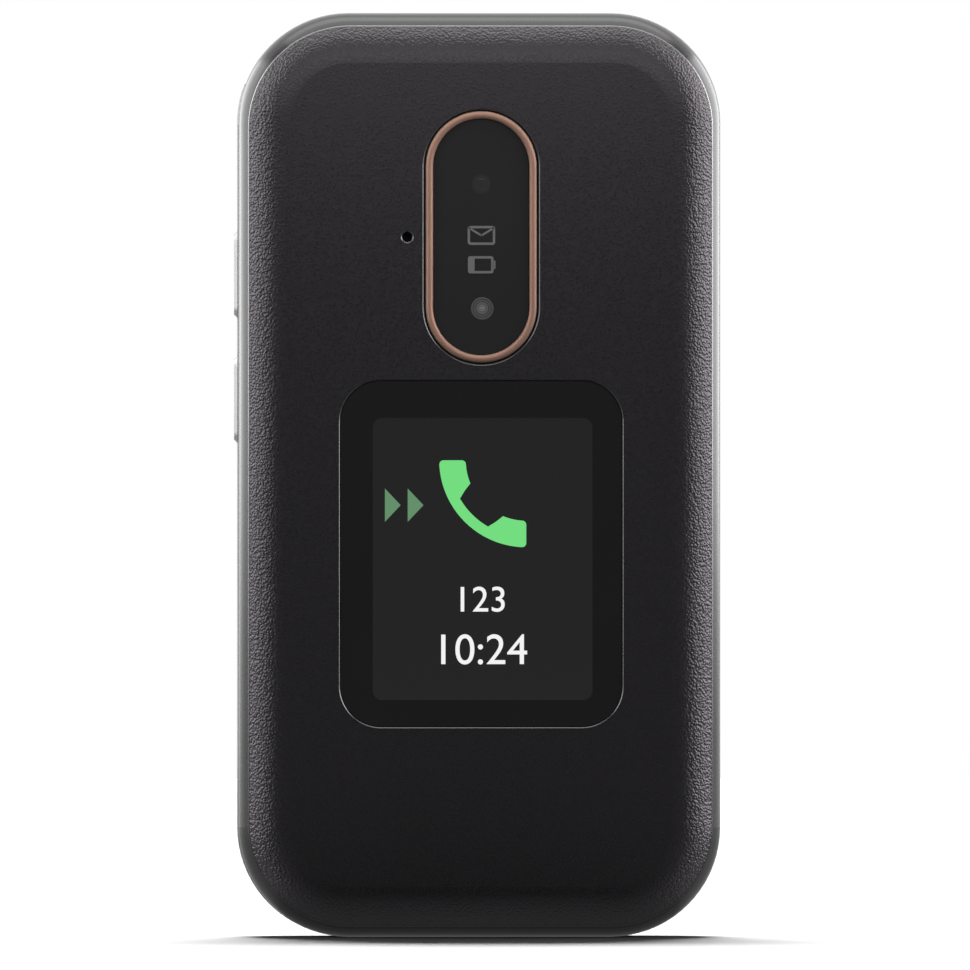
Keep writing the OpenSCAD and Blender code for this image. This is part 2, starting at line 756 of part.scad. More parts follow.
module rear_housing() {
    x_mid = knuckle_end - hinge_gap;
    color(BLACK) on_base() difference() {
        union() {
            difference() {
                union() {
                    difference() {
                        slab(0, base_in);
                        cover_prism(0);
                    }
                    slab(skin_t + seat_gap, base_in);
                }
                above_stop();
                translate([-far, -far, -far]) cube([2 * far, far + cheek_y, far + base_split]);
                barrel(-far, -x_mid, hinge_gap);
                barrel(x_mid, far, hinge_gap);
                bay_cavities();
                back_openings();
                side_openings();
            }
            barrel(-x_mid, x_mid, 0);
        }
        axis_rod(module_r + seat_gap, module_start - seat_gap, far);
        axis_rod(module_r + seat_gap, -far, module_start - 3);
        translate([module_start - 5, cheek_y - 1, -0.6]) cube([2, axis_z - cheek_y + 1, 1.2]);
    }
}

// Room for the board, the battery, the SIM holder, the contacts and the antenna
module bay_cavities() {
    intersection() {
        layer(wall + seat_gap, base_in + wall, floor_z);
        translate([-far, -far, -far]) cube([2 * far, far + cheek_y, 2 * far]);
    }
    translate([0, (bay_y0 + bay_y1) / 2, 0]) slug(bay_w, bay_y1 - bay_y0, battery_r + battery_gap, bay_z, far);
    translate([-10.5, bay_y1 + 6.5, 0])
        brick(SIM_SIZE[0] + part_room, SIM_SIZE[1] + part_room, floor_z - 1, far);
    translate([7, bay_y1 + 2.4, 0]) brick(9.4, 6, floor_z - 1, bay_z + 3);
    translate([5.8, bay_y1 + 8.6, 0])
        brick(CAN_SIZE[0] + part_room, CAN_SIZE[1] + part_room, floor_z - 1, bay_z + 1);
    translate([0, bay_low / 2 + 0.4, 0]) brick(30, 4.2, floor_z - 1, side_top + 1.2);
    for (m = [-1, 1], y = [22, 37]) translate([m * (half_w - 5.6), y, 0]) brick(4, 13, floor_z - 1, side_top + 2.4);
}

// Upper room with the assistance key's hole, the loudspeaker's holes and the screw holes
module back_openings() {
    room_y1 = assist_y + assist_r + 1;
    translate([0, (room_y0 + room_y1) / 2, 0])
        slug(body_w - 11, room_y1 - room_y0, 1.5, floor_z - 1, face - wall - seat_gap);
    translate([0, assist_y, 0]) cylinder(r = assist_r + key_gap, h = far);
    for (i = [-1.5:1.5], j = [-1:1]) translate([-speaker_x + i * speaker_pitch, speaker_y + j * speaker_pitch, 0])
        cylinder(r = speaker_hole_r, h = far);
    finger_dimple();
    for (p = SCREWS) translate([p[0], p[1], 0]) {
        translate([0, 0, screw_seat]) cylinder(r = 1.6, h = far);
        cylinder(r = 0.8, h = far);
    }
}

// Holes of the side keys and the sockets, and the slots of the charging contacts
module side_openings() {
    for (n = [0, 1]) translate([-half_w, volume_y(n), volume_z]) {
        rotate([0, 90, 0])
            slug(volume_h + 2 * key_gap, volume_l + 2 * key_gap, volume_h / 2 + key_gap - 0.01, -1, wall + 1);
        translate([wall + 1.6, 0, 0]) brick(3.1, volume_l + 1.5, -volume_z, volume_h / 2 + 0.7);
    }
    translate([0, jack_y, jack_z]) rotate([0, 90, 0]) {
        translate([0, 0, jack_x - jack_l]) cylinder(r = jack_body_r, h = jack_l);
        translate([0, 0, jack_x - 1]) cylinder(r = jack_r + 0.25, h = far);
    }
    translate([half_w - usb_l / 2 - 0.4, usb_y, usb_z]) rotate([0, 90, 0])
        slug(usb_t, usb_w, usb_t / 2 - 0.01, -usb_l / 2 - 0.3, far);
    for (m = [-1, 1]) translate([m * 3.5, 0, base_split + 1.5]) rotate([-90, 0, 0]) slug(2.4, 2.4, 0.4, -1, 4);
}

// Hollow for a fingernail, at the upper edge of the battery cover
module finger_dimple() {
    dimple_r = 9.4;
    dimple_depth = 0.5;
    translate([0, cover_y - 2.4, face + dimple_r - dimple_depth]) sphere(r = dimple_r, $fn = bow_fn);
}

function volume_y(n) = body_h - volume_drop - n * volume_pitch;

// Solid of the battery cover's outline
module cover_prism(gap) {
    intersection() {
        skin_prism(gap);
        translate([-far, -far, -far / 2]) cube([2 * far, far + cover_y - gap, far]);
    }
}

module battery_cover() {
    z0 = side_top - 1.5;
    color(BLACK) on_base() difference() {
        union() {
            intersection() {
                difference() {
                    slab(0, z0);
                    slab(skin_t, z0 - 1);
                }
                cover_prism(seat_gap);
            }
            for (s = [-1, 1]) translate([s * 8, (bay_y0 + bay_y1) / 2, 0])
                brick(1, bay_y1 - bay_y0 - 6, skin_back - 0.3, skin_back);
        }
        finger_dimple();
    }
}

module battery() {
    color([0.2, 0.2, 0.22]) on_base() difference() {
        translate([0, (bay_y0 + bay_y1) / 2, 0])
            slug(bay_w - 2 * battery_gap, bay_y1 - bay_y0 - 2 * battery_gap, battery_r, bay_z, battery_z1);
        for (n = [-1:1]) translate([7 + n * 2.6, bay_y1 - battery_gap, bay_z + 2]) cube([1.6, 1, 2.4], center = true);
    }
}

module main_board() {
    y0 = field_low - 1;
    y1 = field_hi + 0.4;
    color(BOARD) on_base() {
        translate([0, (y0 + y1) / 2, 0]) slug(board_w, y1 - y0, 2, board_z, board_z + board_t);
        translate([0, assist_y, 0]) brick(4, 4, board_z + board_t, board_z + board_t + 1.2);
        for (x = [-3, 5]) translate([x, cover_y + 3, 0]) brick(4, 2, board_z + board_t, board_z + board_t + 0.8);
    }
}

module shield_can() {
    z0 = board_z + board_t;
    color(STEEL) on_base() translate([5.8, bay_y1 + 8.6, 0]) difference() {
        slug(CAN_SIZE[0], CAN_SIZE[1], 0.5, z0, z0 + CAN_SIZE[2]);
        for (i = [-1.5:1.5]) translate([i * 2.6, 0, z0 + 1]) cylinder(r = 0.4, h = 1);
    }
}

module dome_sheet() {
    y0 = field_low - 0.6;
    ball = (dome_r * dome_r + dome_h * dome_h) / (2 * dome_h);
    color(STEEL) on_base() {
        translate([0, (y0 + field_hi) / 2, 0]) slug(board_w - 0.6, field_hi - y0, 2, sheet_z, board_z);
        for (k = KEY_HOLES) translate([k[0], k[1], sheet_z]) rotate([180, 0, 0]) rotate_extrude()
            intersection() {
                translate([0, dome_h - ball]) circle(ball, $fn = bow_fn);
                square([dome_r, dome_h]);
            }
    }
}

module volume_key(n) {
    color(GREY) on_base() translate([-half_w, volume_y(n), volume_z]) rotate([0, 90, 0]) {
        slug(volume_h, volume_l, volume_h / 2 - 0.01, -volume_proud, wall + 0.15);
        slug(volume_h + 0.8, volume_l + 1, volume_h / 2 + 0.3, wall + 0.15, wall + 0.6);
    }
}

// Round dished key, held by a flange with a flat on the side of the battery cover
module assist_key() {
    top = face - 0.1;
    back = face - wall - seat_gap - 0.1;
    dish_r = 40;
    color(GREY) on_base() translate([0, assist_y, 0]) {
        difference() {
            translate([0, 0, back - 0.1]) cylinder(r = assist_r, h = top - back + 0.1);
            translate([0, 0, top + sqrt(dish_r * dish_r - pow(assist_r - 0.8, 2))]) sphere(r = dish_r, $fn = bow_fn);
        }
        difference() {
            translate([0, 0, back - 0.7]) cylinder(r = assist_r + 0.8, h = 0.6);
            translate([-far, room_y0 + 0.15 - assist_y - far, 0]) cube([2 * far, far, far]);
        }
        translate([0, 0, board_z + board_t + 1.9]) cylinder(r = stem_r, h = back - 0.7 - board_z - board_t - 1.9);
    }
}

module loudspeaker() {
    z1 = face - wall - seat_gap;
    color(STEEL) on_base() translate([-speaker_x, speaker_y, 0]) {
        slug(speaker_w, speaker_h, 1.5, z1 - 3, z1 - 0.4);
        difference() {
            slug(speaker_w, speaker_h, 1.5, z1 - 0.4, z1);
            slug(speaker_w - 2.2, speaker_h - 2.1, 1, z1 - 0.41, z1 + 1);
        }
    }
}

module vibration_motor() {
    z0 = board_z + board_t;
    color(STEEL) on_base() translate([1.5 - speaker_x, assist_y, z0]) {
        cylinder(r = 4, h = 2.6);
        translate([4, 0, 0.6]) cube([3, 3, 1.2], center = true);
    }
}

module usb_socket() {
    color(STEEL) on_base() translate([half_w - usb_l - 0.1, usb_y, usb_z]) rotate([0, 90, 0]) difference() {
        slug(usb_t, usb_w, usb_t / 2 - 0.01, 0, usb_l);
        difference() {
            slug(usb_t - 0.6, usb_w - 0.6, usb_t / 2 - 0.31, 0.8, usb_l + 1);
            slug(0.7, usb_w - 2.6, 0.2, 0, usb_l - 0.6);
        }
    }
}

module headset_jack() {
    color([0.1, 0.1, 0.1]) on_base() translate([jack_x - jack_l, jack_y, jack_z]) rotate([0, 90, 0])
        difference() {
            cylinder(r = jack_body_r, h = jack_l);
            translate([0, 0, 1]) cylinder(r = jack_r, h = jack_l);
        }
}

module charge_contacts() {
    color(GOLD) on_base() for (s = [-1, 1]) translate([s * 3.5, 0, base_split + 1.5]) rotate([-90, 0, 0])
        slug(2.4, 2.4, 0.4, 0.15, 3.4);
}

module sim_holder() {
    z0 = board_z + board_t;
    color(STEEL) on_base() translate([-10.5, bay_y1 + 6.5, 0]) difference() {
        slug(SIM_SIZE[0], SIM_SIZE[1], 0.6, z0, z0 + SIM_SIZE[2]);
        translate([0, 1, 0]) brick(SIM_SIZE[0] - 3, SIM_SIZE[1] + 0.4, z0 + 0.4, z0 + 1.1);
        brick(8, 5, z0 + 1, z0 + 2);
    }
}

module battery_contacts() {
    z0 = board_z + board_t;
    color(GOLD) on_base() {
        translate([7, bay_y1 + 2.4, 0]) brick(9, 3, z0, bay_z + 2.6);
        for (n = [-1:1]) translate([7 + n * 2.6, bay_y1 + 0.5, bay_z + 2]) cube([0.8, 1.2, 0.8], center = true);
    }
}

module antenna() {
    color(GOLD) on_base() translate([0, bay_low / 2 + 0.4, 0]) difference() {
        brick(28, 3.6, floor_z, side_top + 1.2);
        for (s = [-1, 1]) translate([s * 3.5, 0, 0]) brick(3.4, 5, floor_z - 1, far);
    }
}

module base_screws() {
    color(STEEL) on_base() for (p = SCREWS) translate([p[0], p[1], 0]) {
        difference() {
            translate([0, 0, screw_seat]) cylinder(r = 1.4, h = 0.8);
            translate([0, 0, screw_seat + 0.4]) cylinder(r = 0.6, h = 1, $fn = 6);
        }
        translate([0, 0, deck_back]) cylinder(r = 0.7, h = screw_seat - deck_back);
    }
}

// ---- Hinge ----

module hinge_module() {
    color(STEEL) on_base() difference() {
        axis_rod(module_r, module_start, module_end);
        axis_rod(module_r - 0.6, module_start + 1, module_end - 1.2);
        axis_rod(cam_shaft_r + turn_gap, module_start + 1, far);
    }
}

module hinge_cam() {
    disc_x = module_end - 6;
    color(STEEL) on_lid() {
        axis_rod(module_r - 0.7, disc_x, disc_x + 2);
        axis_rod(cam_shaft_r, disc_x, knuckle_end);
        translate([knuckle_end, axis_z - cam_head / 2, -cam_head / 2]) cube([cam_head_l, cam_head, cam_head]);
    }
}

// Coil of round wire, swept ring by ring along a helix round the axis
module hinge_spring() {
    turns = 5;
    steps = 12;
    sides = 6;
    wire = 0.25;
    coil_r = 1.6;
    x0 = module_start + 1.3;
    x1 = module_end - 6.3;
    rings = turns * steps;
    function ring_point(i, j) =
        let (a = 360 * i / steps, b = 360 * j / sides, r = coil_r + wire * cos(b))
        [x0 + (x1 - x0) * i / rings + wire * sin(b), axis_z + r * cos(a), r * sin(a)];
    points = [for (i = [0:rings], j = [0:sides - 1]) ring_point(i, j)];
    skin = [for (i = [0:rings - 1], j = [0:sides - 1])
        let (k = (j + 1) % sides) [i * sides + j, i * sides + k, (i + 1) * sides + k, (i + 1) * sides + j]];
    ends = [[for (j = [sides - 1:-1:0]) j], [for (j = [0:sides - 1]) rings * sides + j]];
    color(STEEL) on_base() polyhedron(points, concat(skin, ends));
}

module hinge_bush() {
    x_in = -knuckle_end + hinge_gap;
    color(STEEL) on_base() difference() {
        union() {
            axis_rod(module_r, x_in, x_in + 4);
            axis_rod(bush_r, bush_end, x_in);
        }
        axis_rod(bush_bore_r, bush_end - 1, x_in + 5);
    }
}

module flex_cable() {
    x_in = -knuckle_end + hinge_gap + 4;
    color(GOLD) on_base() {
        difference() {
            axis_rod(bush_bore_r - 0.2, bush_end + 0.5, module_start - 3.2);
            axis_rod(bush_bore_r - 0.35, bush_end, far);
            translate([bush_end - 1, axis_z, -0.5]) cube([far, far, 1]);
        }
        translate([module_start - 4.9, field_hi + 0.4, 0.05]) cube([1.6, axis_z - field_hi - bush_bore_r - 0.1, 0.15]);
        translate([module_start - 4.9, field_hi + 0.4, 0.05]) cube([1.6, 0.15, board_z]);
    }
}

lid_frame();
lid_cover();
lid_inner_housing();
camera_ring();
camera_window();
camera_module();
flash_light();
light_guide();
outer_window();
outer_display();
inner_window();
main_display();
lid_board();
earpiece();
magnet();
bumpers();
lid_screws();
keypad_housing();
rear_housing();
battery_cover();
battery();
main_board();
shield_can();
dome_sheet();
key_nav();
color(GREY) keycap(KEY_HOLES[1]);  // key_soft_left
color(GREY) keycap(KEY_HOLES[2]);  // key_soft_right
color([0.2, 0.6, 0.3]) keycap(KEY_HOLES[3]);  // key_call
color([0.7, 0.2, 0.2]) keycap(KEY_HOLES[4]);  // key_end
color(GREY) keycap(KEY_HOLES[5]);  // key_camera
color(GREY) keycap(KEY_HOLES[6]);  // key_message
volume_key(0);  // volume_up_key
volume_key(1);  // volume_down_key
assist_key();
loudspeaker();
vibration_motor();
usb_socket();
headset_jack();
charge_contacts();
sim_holder();
battery_contacts();
antenna();
base_screws();
hinge_module();
hinge_cam();
hinge_spring();
hinge_bush();
flex_cable();
for (i = [0:len(NUMBER_KEYS) - 1])
    color(GREY) keycap(KEY_HOLES[7 + i]);
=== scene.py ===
# %% [markdown]
# # A closed clamshell phone
# The phone's solids come from its CAD model, which loads as a fixed frame. This lesson gives them their
# finishes, and adds what is too fine for solids: printed signs, key legends, a lit display and lens rings.
# Everything is in metres, with +X to the right, +Y to the back and +Z up. The phone stands on its lower
# end, and its lid, which faces the front, hides the keypad.

# %% Load the frame
import json
import math
import bpy
import bmesh
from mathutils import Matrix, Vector


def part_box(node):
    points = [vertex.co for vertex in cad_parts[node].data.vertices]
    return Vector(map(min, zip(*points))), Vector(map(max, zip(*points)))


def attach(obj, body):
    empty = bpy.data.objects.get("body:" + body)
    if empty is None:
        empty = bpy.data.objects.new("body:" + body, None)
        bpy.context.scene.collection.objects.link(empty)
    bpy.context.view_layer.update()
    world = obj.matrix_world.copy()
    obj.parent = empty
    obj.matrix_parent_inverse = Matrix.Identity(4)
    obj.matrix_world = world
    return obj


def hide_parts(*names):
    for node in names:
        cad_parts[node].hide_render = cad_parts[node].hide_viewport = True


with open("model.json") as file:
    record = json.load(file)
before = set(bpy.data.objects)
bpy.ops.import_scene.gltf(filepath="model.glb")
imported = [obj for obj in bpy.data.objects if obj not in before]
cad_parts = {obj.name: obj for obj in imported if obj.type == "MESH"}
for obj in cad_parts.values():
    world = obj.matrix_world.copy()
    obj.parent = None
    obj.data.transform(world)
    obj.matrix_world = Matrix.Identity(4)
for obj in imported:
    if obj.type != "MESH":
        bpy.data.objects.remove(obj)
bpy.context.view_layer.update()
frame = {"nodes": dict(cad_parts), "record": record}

mm = 0.001

# %% [markdown]
# ## Reading places from the solids
# Most signs and legends sit on a solid, so their places are read from that solid's box and not typed twice.
# A box gives the middle of a piece, and its front is the side with the lowest Y.

# %% Places
def middle(node):
    low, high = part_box(node)
    return (low + high) / 2

def size(node):
    low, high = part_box(node)
    return high - low

window_size = size("outer_window")
window_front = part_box("outer_window")[0].y
island_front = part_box("camera_window")[0].y
ring_middle = middle("camera_ring")
inner_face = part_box("inner_window")[1].y
print("outer window", round(window_size.x / mm, 2), "x", round(window_size.z / mm, 2), "mm")

# %% [markdown]
# ## Building materials from nodes
# A material is a small graph. `add` adds one node and fills its sockets by name: a plain number or colour
# is written into the socket, and another node's output is linked to it. Three more stand for the nodes
# that are used most: arithmetic on numbers and on vectors, and one range mapped to another. `new_group`
# starts a node group, which is an effect with named inputs and outputs of its own.

# %% Node helpers
def add(tree, kind, sockets=None, **settings):
    node = tree.nodes.new("ShaderNode" + kind)
    for name, value in settings.items():
        setattr(node, name, value)
    for name, value in (sockets or {}).items():
        socket = node.inputs[name]
        if isinstance(value, bpy.types.NodeSocket):
            tree.links.new(value, socket)
        else:
            socket.default_value = value
    return node

def number_math(tree, operation, *values):
    return add(tree, "Math", dict(enumerate(values)), operation=operation).outputs[0]

def vector_math(tree, operation, vector, by):
    second = "Scale" if operation == "SCALE" else 1
    return add(tree, "VectorMath", {0: vector, second: by}, operation=operation).outputs["Vector"]

def range_of(tree, value, low, high, to_low, to_high):
    return add(tree, "MapRange", {"Value": value, "From Min": low, "From Max": high,
                                  "To Min": to_low, "To Max": to_high}).outputs["Result"]

def new_group(name, inputs, outputs):
    tree = bpy.data.node_groups.new(name, "ShaderNodeTree")
    for label, kind, value in inputs:
        socket = tree.interface.new_socket(label, in_out="INPUT", socket_type="NodeSocket" + kind)
        if value is not None:
            socket.default_value = value
    for label, kind in outputs:
        tree.interface.new_socket(label, in_out="OUTPUT", socket_type="NodeSocket" + kind)
    return tree, tree.nodes.new("NodeGroupInput").outputs, tree.nodes.new("NodeGroupOutput").inputs

print("node helpers ready")

# %% [markdown]
# ## Moulded surface
# Every moulded part has a faint spark-eroded grain and never quite the same gloss all over. The group
# takes a colour and a roughness, varies both a little over the surface, and gives a height for the bump.

# %% Group: moulded surface
moulded, given, result = new_group(
    "Moulded surface",
    [("Vector", "Vector", None), ("Color", "Color", (0.1, 0.1, 0.1, 1)), ("Roughness", "Float", 0.4),
     ("Spread", "Float", 0.05), ("Grain", "Float", 5000.0)],
    [("Color", "Color"), ("Roughness", "Float"), ("Height", "Float")])
cloud = add(moulded, "TexNoise", {"Vector": given["Vector"], "Scale": 60.0, "Detail": 3.0}).outputs["Fac"]
fine = add(moulded, "TexNoise", {"Vector": given["Vector"], "Scale": given["Grain"], "Detail": 2.0})
swing = number_math(moulded, "ADD", cloud, -0.5)
swing = number_math(moulded, "MULTIPLY", swing, given["Spread"])
rough = number_math(moulded, "ADD", swing, given["Roughness"])
tint = range_of(moulded, cloud, 0.3, 0.7, 0.92, 1.06)
shade = vector_math(moulded, "SCALE", given["Color"], tint)
moulded.links.new(shade, result["Color"])
moulded.links.new(rough, result["Roughness"])
moulded.links.new(fine.outputs["Fac"], result["Height"])
print(moulded.name, [socket.name for socket in moulded.interface.items_tree])

# %% [markdown]
# ## Leather grain
# The lid's skin is pressed with a fine leather grain: small rounded pebbles, a little over a quarter of a
# millimetre wide, with creases between them. Cells of a Voronoi texture make the pebbles, and noise bends
# them so that they look pressed and not drawn. The group gives a height, and a mask that is high in the
# creases.

# %% Group: leather grain
leather, given, result = new_group(
    "Leather grain",
    [("Vector", "Vector", None), ("Pebbles", "Float", 4000.0), ("Warp", "Float", 0.0002)],
    [("Height", "Float"), ("Crease", "Float")])
bend = add(leather, "TexNoise", {"Vector": given["Vector"], "Scale": 1800.0, "Detail": 2.0})
centred = vector_math(leather, "SUBTRACT", bend.outputs["Color"], (0.5, 0.5, 0.5))
push = vector_math(leather, "SCALE", centred, given["Warp"])
bent = vector_math(leather, "ADD", given["Vector"], push)
cells = add(leather, "TexVoronoi", {"Vector": bent, "Scale": given["Pebbles"], "Smoothness": 0.6},
            feature="SMOOTH_F1")
grit = add(leather, "TexNoise", {"Vector": given["Vector"], "Scale": 9000.0, "Detail": 2.0})
crease = range_of(leather, cells.outputs["Distance"], 0.25, 0.75, 0.0, 1.0)
pebble = number_math(leather, "SUBTRACT", 1.0, crease)
rubbed = number_math(leather, "MULTIPLY_ADD", grit.outputs["Fac"], 0.25, pebble)
leather.links.new(rubbed, result["Height"])
leather.links.new(crease, result["Crease"])
print(leather.name, [socket.name for socket in leather.interface.items_tree])

# %% [markdown]
# ## Plain moulded finishes
# Most parts share one recipe: the moulded-surface group feeds colour, roughness and a small bump of a
# Principled shader. Numbers that stay the same all over, such as the coat, are written on the shader. The
# grain counts bumps in a metre, and the relief is their height in metres.

# %% Moulded materials
def shader(name, **sockets):
    material = bpy.data.materials.new(name)
    material.use_nodes = True
    tree = material.node_tree
    bsdf = tree.nodes["Principled BSDF"]
    for label, value in sockets.items():
        bsdf.inputs[label.replace("_", " ")].default_value = value
    place = add(tree, "TexCoord").outputs["Object"]
    return material, tree, bsdf, place

def bump(tree, bsdf, height, relief):
    node = add(tree, "Bump", {"Height": height, "Distance": relief, "Strength": 1.0})
    tree.links.new(node.outputs["Normal"], bsdf.inputs["Normal"])

def plastic(name, color, roughness, spread=0.06, grain=5000.0, relief=0.000004, **sockets):
    material, tree, bsdf, place = shader(name, **sockets)
    surface = add(tree, "Group", {"Vector": place, "Color": (*color, 1), "Roughness": roughness,
                                  "Spread": spread, "Grain": grain}, node_tree=moulded)
    tree.links.new(surface.outputs["Color"], bsdf.inputs["Base Color"])
    tree.links.new(surface.outputs["Roughness"], bsdf.inputs["Roughness"])
    bump(tree, bsdf, surface.outputs["Height"], relief)
    return material

rim_gloss = plastic("Polished graphite rim", (0.03, 0.03, 0.0315), 0.2, grain=1500.0, relief=0.000002)
housing_matte = plastic("Satin black housing", (0.013, 0.013, 0.015), 0.48, grain=4200.0, relief=0.000012)
component_black = plastic("Black component", (0.012, 0.012, 0.013), 0.4)
key_plastic = plastic("Satin key", (0.03, 0.03, 0.033), 0.36, grain=4500.0, relief=0.000006)
bumper_rubber = plastic("Soft rubber", (0.02, 0.02, 0.02), 0.75, grain=7000.0, relief=0.00001)
battery_wrap = plastic("Battery wrap", (0.07, 0.07, 0.075), 0.42, grain=900.0, relief=0.000006)
flex_film = plastic("Amber film", (0.45, 0.17, 0.03), 0.3, grain=600.0)
light_lens = plastic("Frosted lens", (0.55, 0.55, 0.54), 0.3, grain=3000.0)
print(len(bpy.data.materials), "materials so far")

# %% [markdown]
# ## The lid's grained skin
# The skin is nearly black with a slight violet cast. Its pebbles are a little more polished than its
# creases, and the creases are painted darker as shade. The grain is deep where the skin curves down to the
# rim and pressed almost flat on the face, so the bump's height grows with the distance behind the face.

# %% Grained skin
def skin(name, color, pebbles, relief):
    pebble_rough, crease_rough = 0.27, 0.42
    # Painted shade: the creases are coloured 0.45 as bright as the pebbles.
    crease_shade_color = [0.45 * level for level in color]
    face_y, curve_y = -9.5 * mm, -8.8 * mm
    face_press, curve_press = 0.15, 1.5
    material, tree, bsdf, place = shader(name, Specular_IOR_Level=1.0, Specular_Tint=(1.0, 0.93, 1.0, 1))
    grain = add(tree, "Group", {"Vector": place, "Pebbles": pebbles}, node_tree=leather)
    mask = grain.outputs["Crease"]
    # Painted shade mixes into the colour where the crease mask is high.
    painted_shade_tone = add(tree, "MixRGB", {"Fac": mask, "Color1": (*color, 1), "Color2": (*crease_shade_color, 1)})
    tree.links.new(painted_shade_tone.outputs["Color"], bsdf.inputs["Base Color"])
    tree.links.new(range_of(tree, mask, 0, 1, pebble_rough, crease_rough), bsdf.inputs["Roughness"])
    depth = add(tree, "SeparateXYZ", {"Vector": place}).outputs["Y"]
    pressed = range_of(tree, depth, face_y, curve_y, face_press, curve_press)
    bump(tree, bsdf, number_math(tree, "MULTIPLY", grain.outputs["Height"], pressed), relief)
    return material

grained_skin = skin("Grained black skin", (0.0095, 0.0088, 0.01), 3600.0, 0.000042)
print(grained_skin.name, len(grained_skin.node_tree.nodes), "nodes")

# %% [markdown]
# ## Metals and glass
# The ring is rose-coloured aluminium, satin from its anodising, and the volume keys are lacquered silver;
# both are only partly metallic. Steel and gold are used inside and for the contacts, and a grey metal
# edges the openings. The smoked windows are smooth black glass.

# %% Metal and glass
def metal(name, color, roughness):
    return plastic(name, color, roughness, spread=0.12, grain=3000.0, relief=0.000002, Metallic=1.0)

def dark_glass(name, color):
    return plastic(name, color, 0.07, spread=0.02, grain=200.0, relief=0.0000005)

rose_metal = plastic("Rose aluminium", (0.52, 0.31, 0.235), 0.55, spread=0.12, relief=0.000002,
                     Metallic=0.6)
steel = metal("Bare steel", (0.5, 0.5, 0.52), 0.35)
gold_contact = metal("Gold plating", (0.8, 0.56, 0.22), 0.25)
lip_edge = metal("Lip of an opening", (0.17, 0.17, 0.175), 0.3)
silver_key = plastic("Silver lacquered key", (0.52, 0.52, 0.515), 0.36, grain=2600.0, Metallic=0.5,
                     Coat_Weight=0.2)
smoked_window = dark_glass("Smoked window", (0.02, 0.02, 0.0205))
camera_glass = dark_glass("Camera window", (0.034, 0.033, 0.035))
display_panel = plastic("Display panel", (0.01, 0.01, 0.012), 0.2, grain=400.0)
print("metals and glass ready")

# %% [markdown]
# ## Boards and the skin's cut edge
# The circuit boards show copper tracks under green lacquer, drawn as the joints of a brick pattern. The cut
# edge of the skin has painted light and shade in its colour: it is dark near the lower end, lighter up the
# sides and lightest at the top, where more light falls.

# %% Board and cut edge
def board():
    material, tree, bsdf, place = shader("Circuit board")
    tracks = add(tree, "TexBrick", {"Vector": place, "Scale": 260.0, "Mortar Size": 0.03,
                                    "Color1": (0.01, 0.09, 0.04, 1), "Color2": (0.012, 0.11, 0.05, 1),
                                    "Mortar": (0.05, 0.2, 0.09, 1)})
    tree.links.new(tracks.outputs["Color"], bsdf.inputs["Base Color"])
    bump(tree, bsdf, tracks.outputs["Fac"], 0.00002)
    return material

# dull is the painted shade low on the edge, and bright the painted light higher up.
def cut_metal_with_painted_light(dull, bright):
    material, tree, bsdf, place = shader("Cut edge of the skin", Metallic=1.0)
    surface = add(tree, "Group", {"Vector": place, "Roughness": 0.3, "Spread": 0.12}, node_tree=moulded)
    height = add(tree, "SeparateXYZ", {"Vector": place}).outputs["Z"]
    # Painted light and shade: the colour is dark near the lower end, lighter up the sides and lightest at
    # the top.
    along_sides = range_of(tree, height, 8 * mm, 60 * mm, 0.0, 0.75)
    at_top = range_of(tree, height, 90 * mm, 103 * mm, 0.0, 0.25)
    painted_light_level = number_math(tree, "ADD", along_sides, at_top)
    painted_shade_tone = add(tree, "MixRGB", {"Fac": painted_light_level, "Color1": (dull, dull, dull, 1),
                                "Color2": (bright, bright, bright, 1)})
    tree.links.new(painted_shade_tone.outputs["Color"], bsdf.inputs["Base Color"])
    tree.links.new(surface.outputs["Roughness"], bsdf.inputs["Roughness"])
    return material

circuit_board = board()
cut_edge = cut_metal_with_painted_light(0.08, 0.5)
print(circuit_board.name, "and", cut_edge.name, "ready")

# %% [markdown]
# ## Print and light
# Legends are printed in a satin paint. The lit parts of a display glow with their own colour, and a fine
# grid of dots in the colour keeps them from looking like paper. Apart from that glow they are black glass.

# %% Paint and lit dots
unlit = (0.004, 0.004, 0.004, 1)

def glow(name, color):
    material, tree, bsdf, place = shader(name, Emission_Strength=1.0, Roughness=0.08, Base_Color=unlit)
    dots = add(tree, "TexVoronoi", {"Vector": place, "Scale": 9000.0, "Randomness": 0.0})
    dim = range_of(tree, dots.outputs["Distance"], 0.2, 0.9, 1.03, 0.93)
    tree.links.new(vector_math(tree, "SCALE", color, dim), bsdf.inputs["Emission Color"])
    return material

white_print = plastic("White print", (0.62, 0.62, 0.6), 0.45)
grey_print = plastic("Grey print", (0.22, 0.22, 0.225), 0.4)
green_print = plastic("Green print", (0.05, 0.42, 0.1), 0.4)
red_print = plastic("Red print", (0.55, 0.03, 0.025), 0.4)
lit_ground = glow("Lit ground", (0.0145, 0.0145, 0.0155))
lit_green = glow("Lit green", (0.17, 0.72, 0.21))
lit_dull_green = glow("Lit dull green", (0.125, 0.27, 0.14))
lit_white = glow("Lit white", (0.9, 0.9, 0.9))
print("print and light ready")

# %% [markdown]
# ## Dressing the solids
# Each solid that has the right shape stays and only gets its finish. The record names a finish for every
# solid, and this table turns that name into the material built above. The camera's window gets a glass of
# its own, a shade lighter than the other windows.

# %% Finishes of the solids
finishes = {"rim_gloss": rim_gloss, "grained_skin": grained_skin, "housing_matte": housing_matte,
            "rose_metal": rose_metal, "smoked_window": smoked_window, "component_black": component_black,
            "light_lens": light_lens, "display_panel": display_panel, "circuit_board": circuit_board,
            "bumper_rubber": bumper_rubber, "battery_wrap": battery_wrap, "gold_contact": gold_contact,
            "flex_film": flex_film, "key_plastic": key_plastic, "steel": steel}
for part in frame["record"]["subparts"]:
    solid = frame["nodes"][part["node"]]
    solid.data.materials.clear()
    solid.data.materials.append(finishes[part["material_slot"]])
frame["nodes"]["camera_window"].data.materials[0] = camera_glass
print(len(frame["nodes"]), "solids dressed")

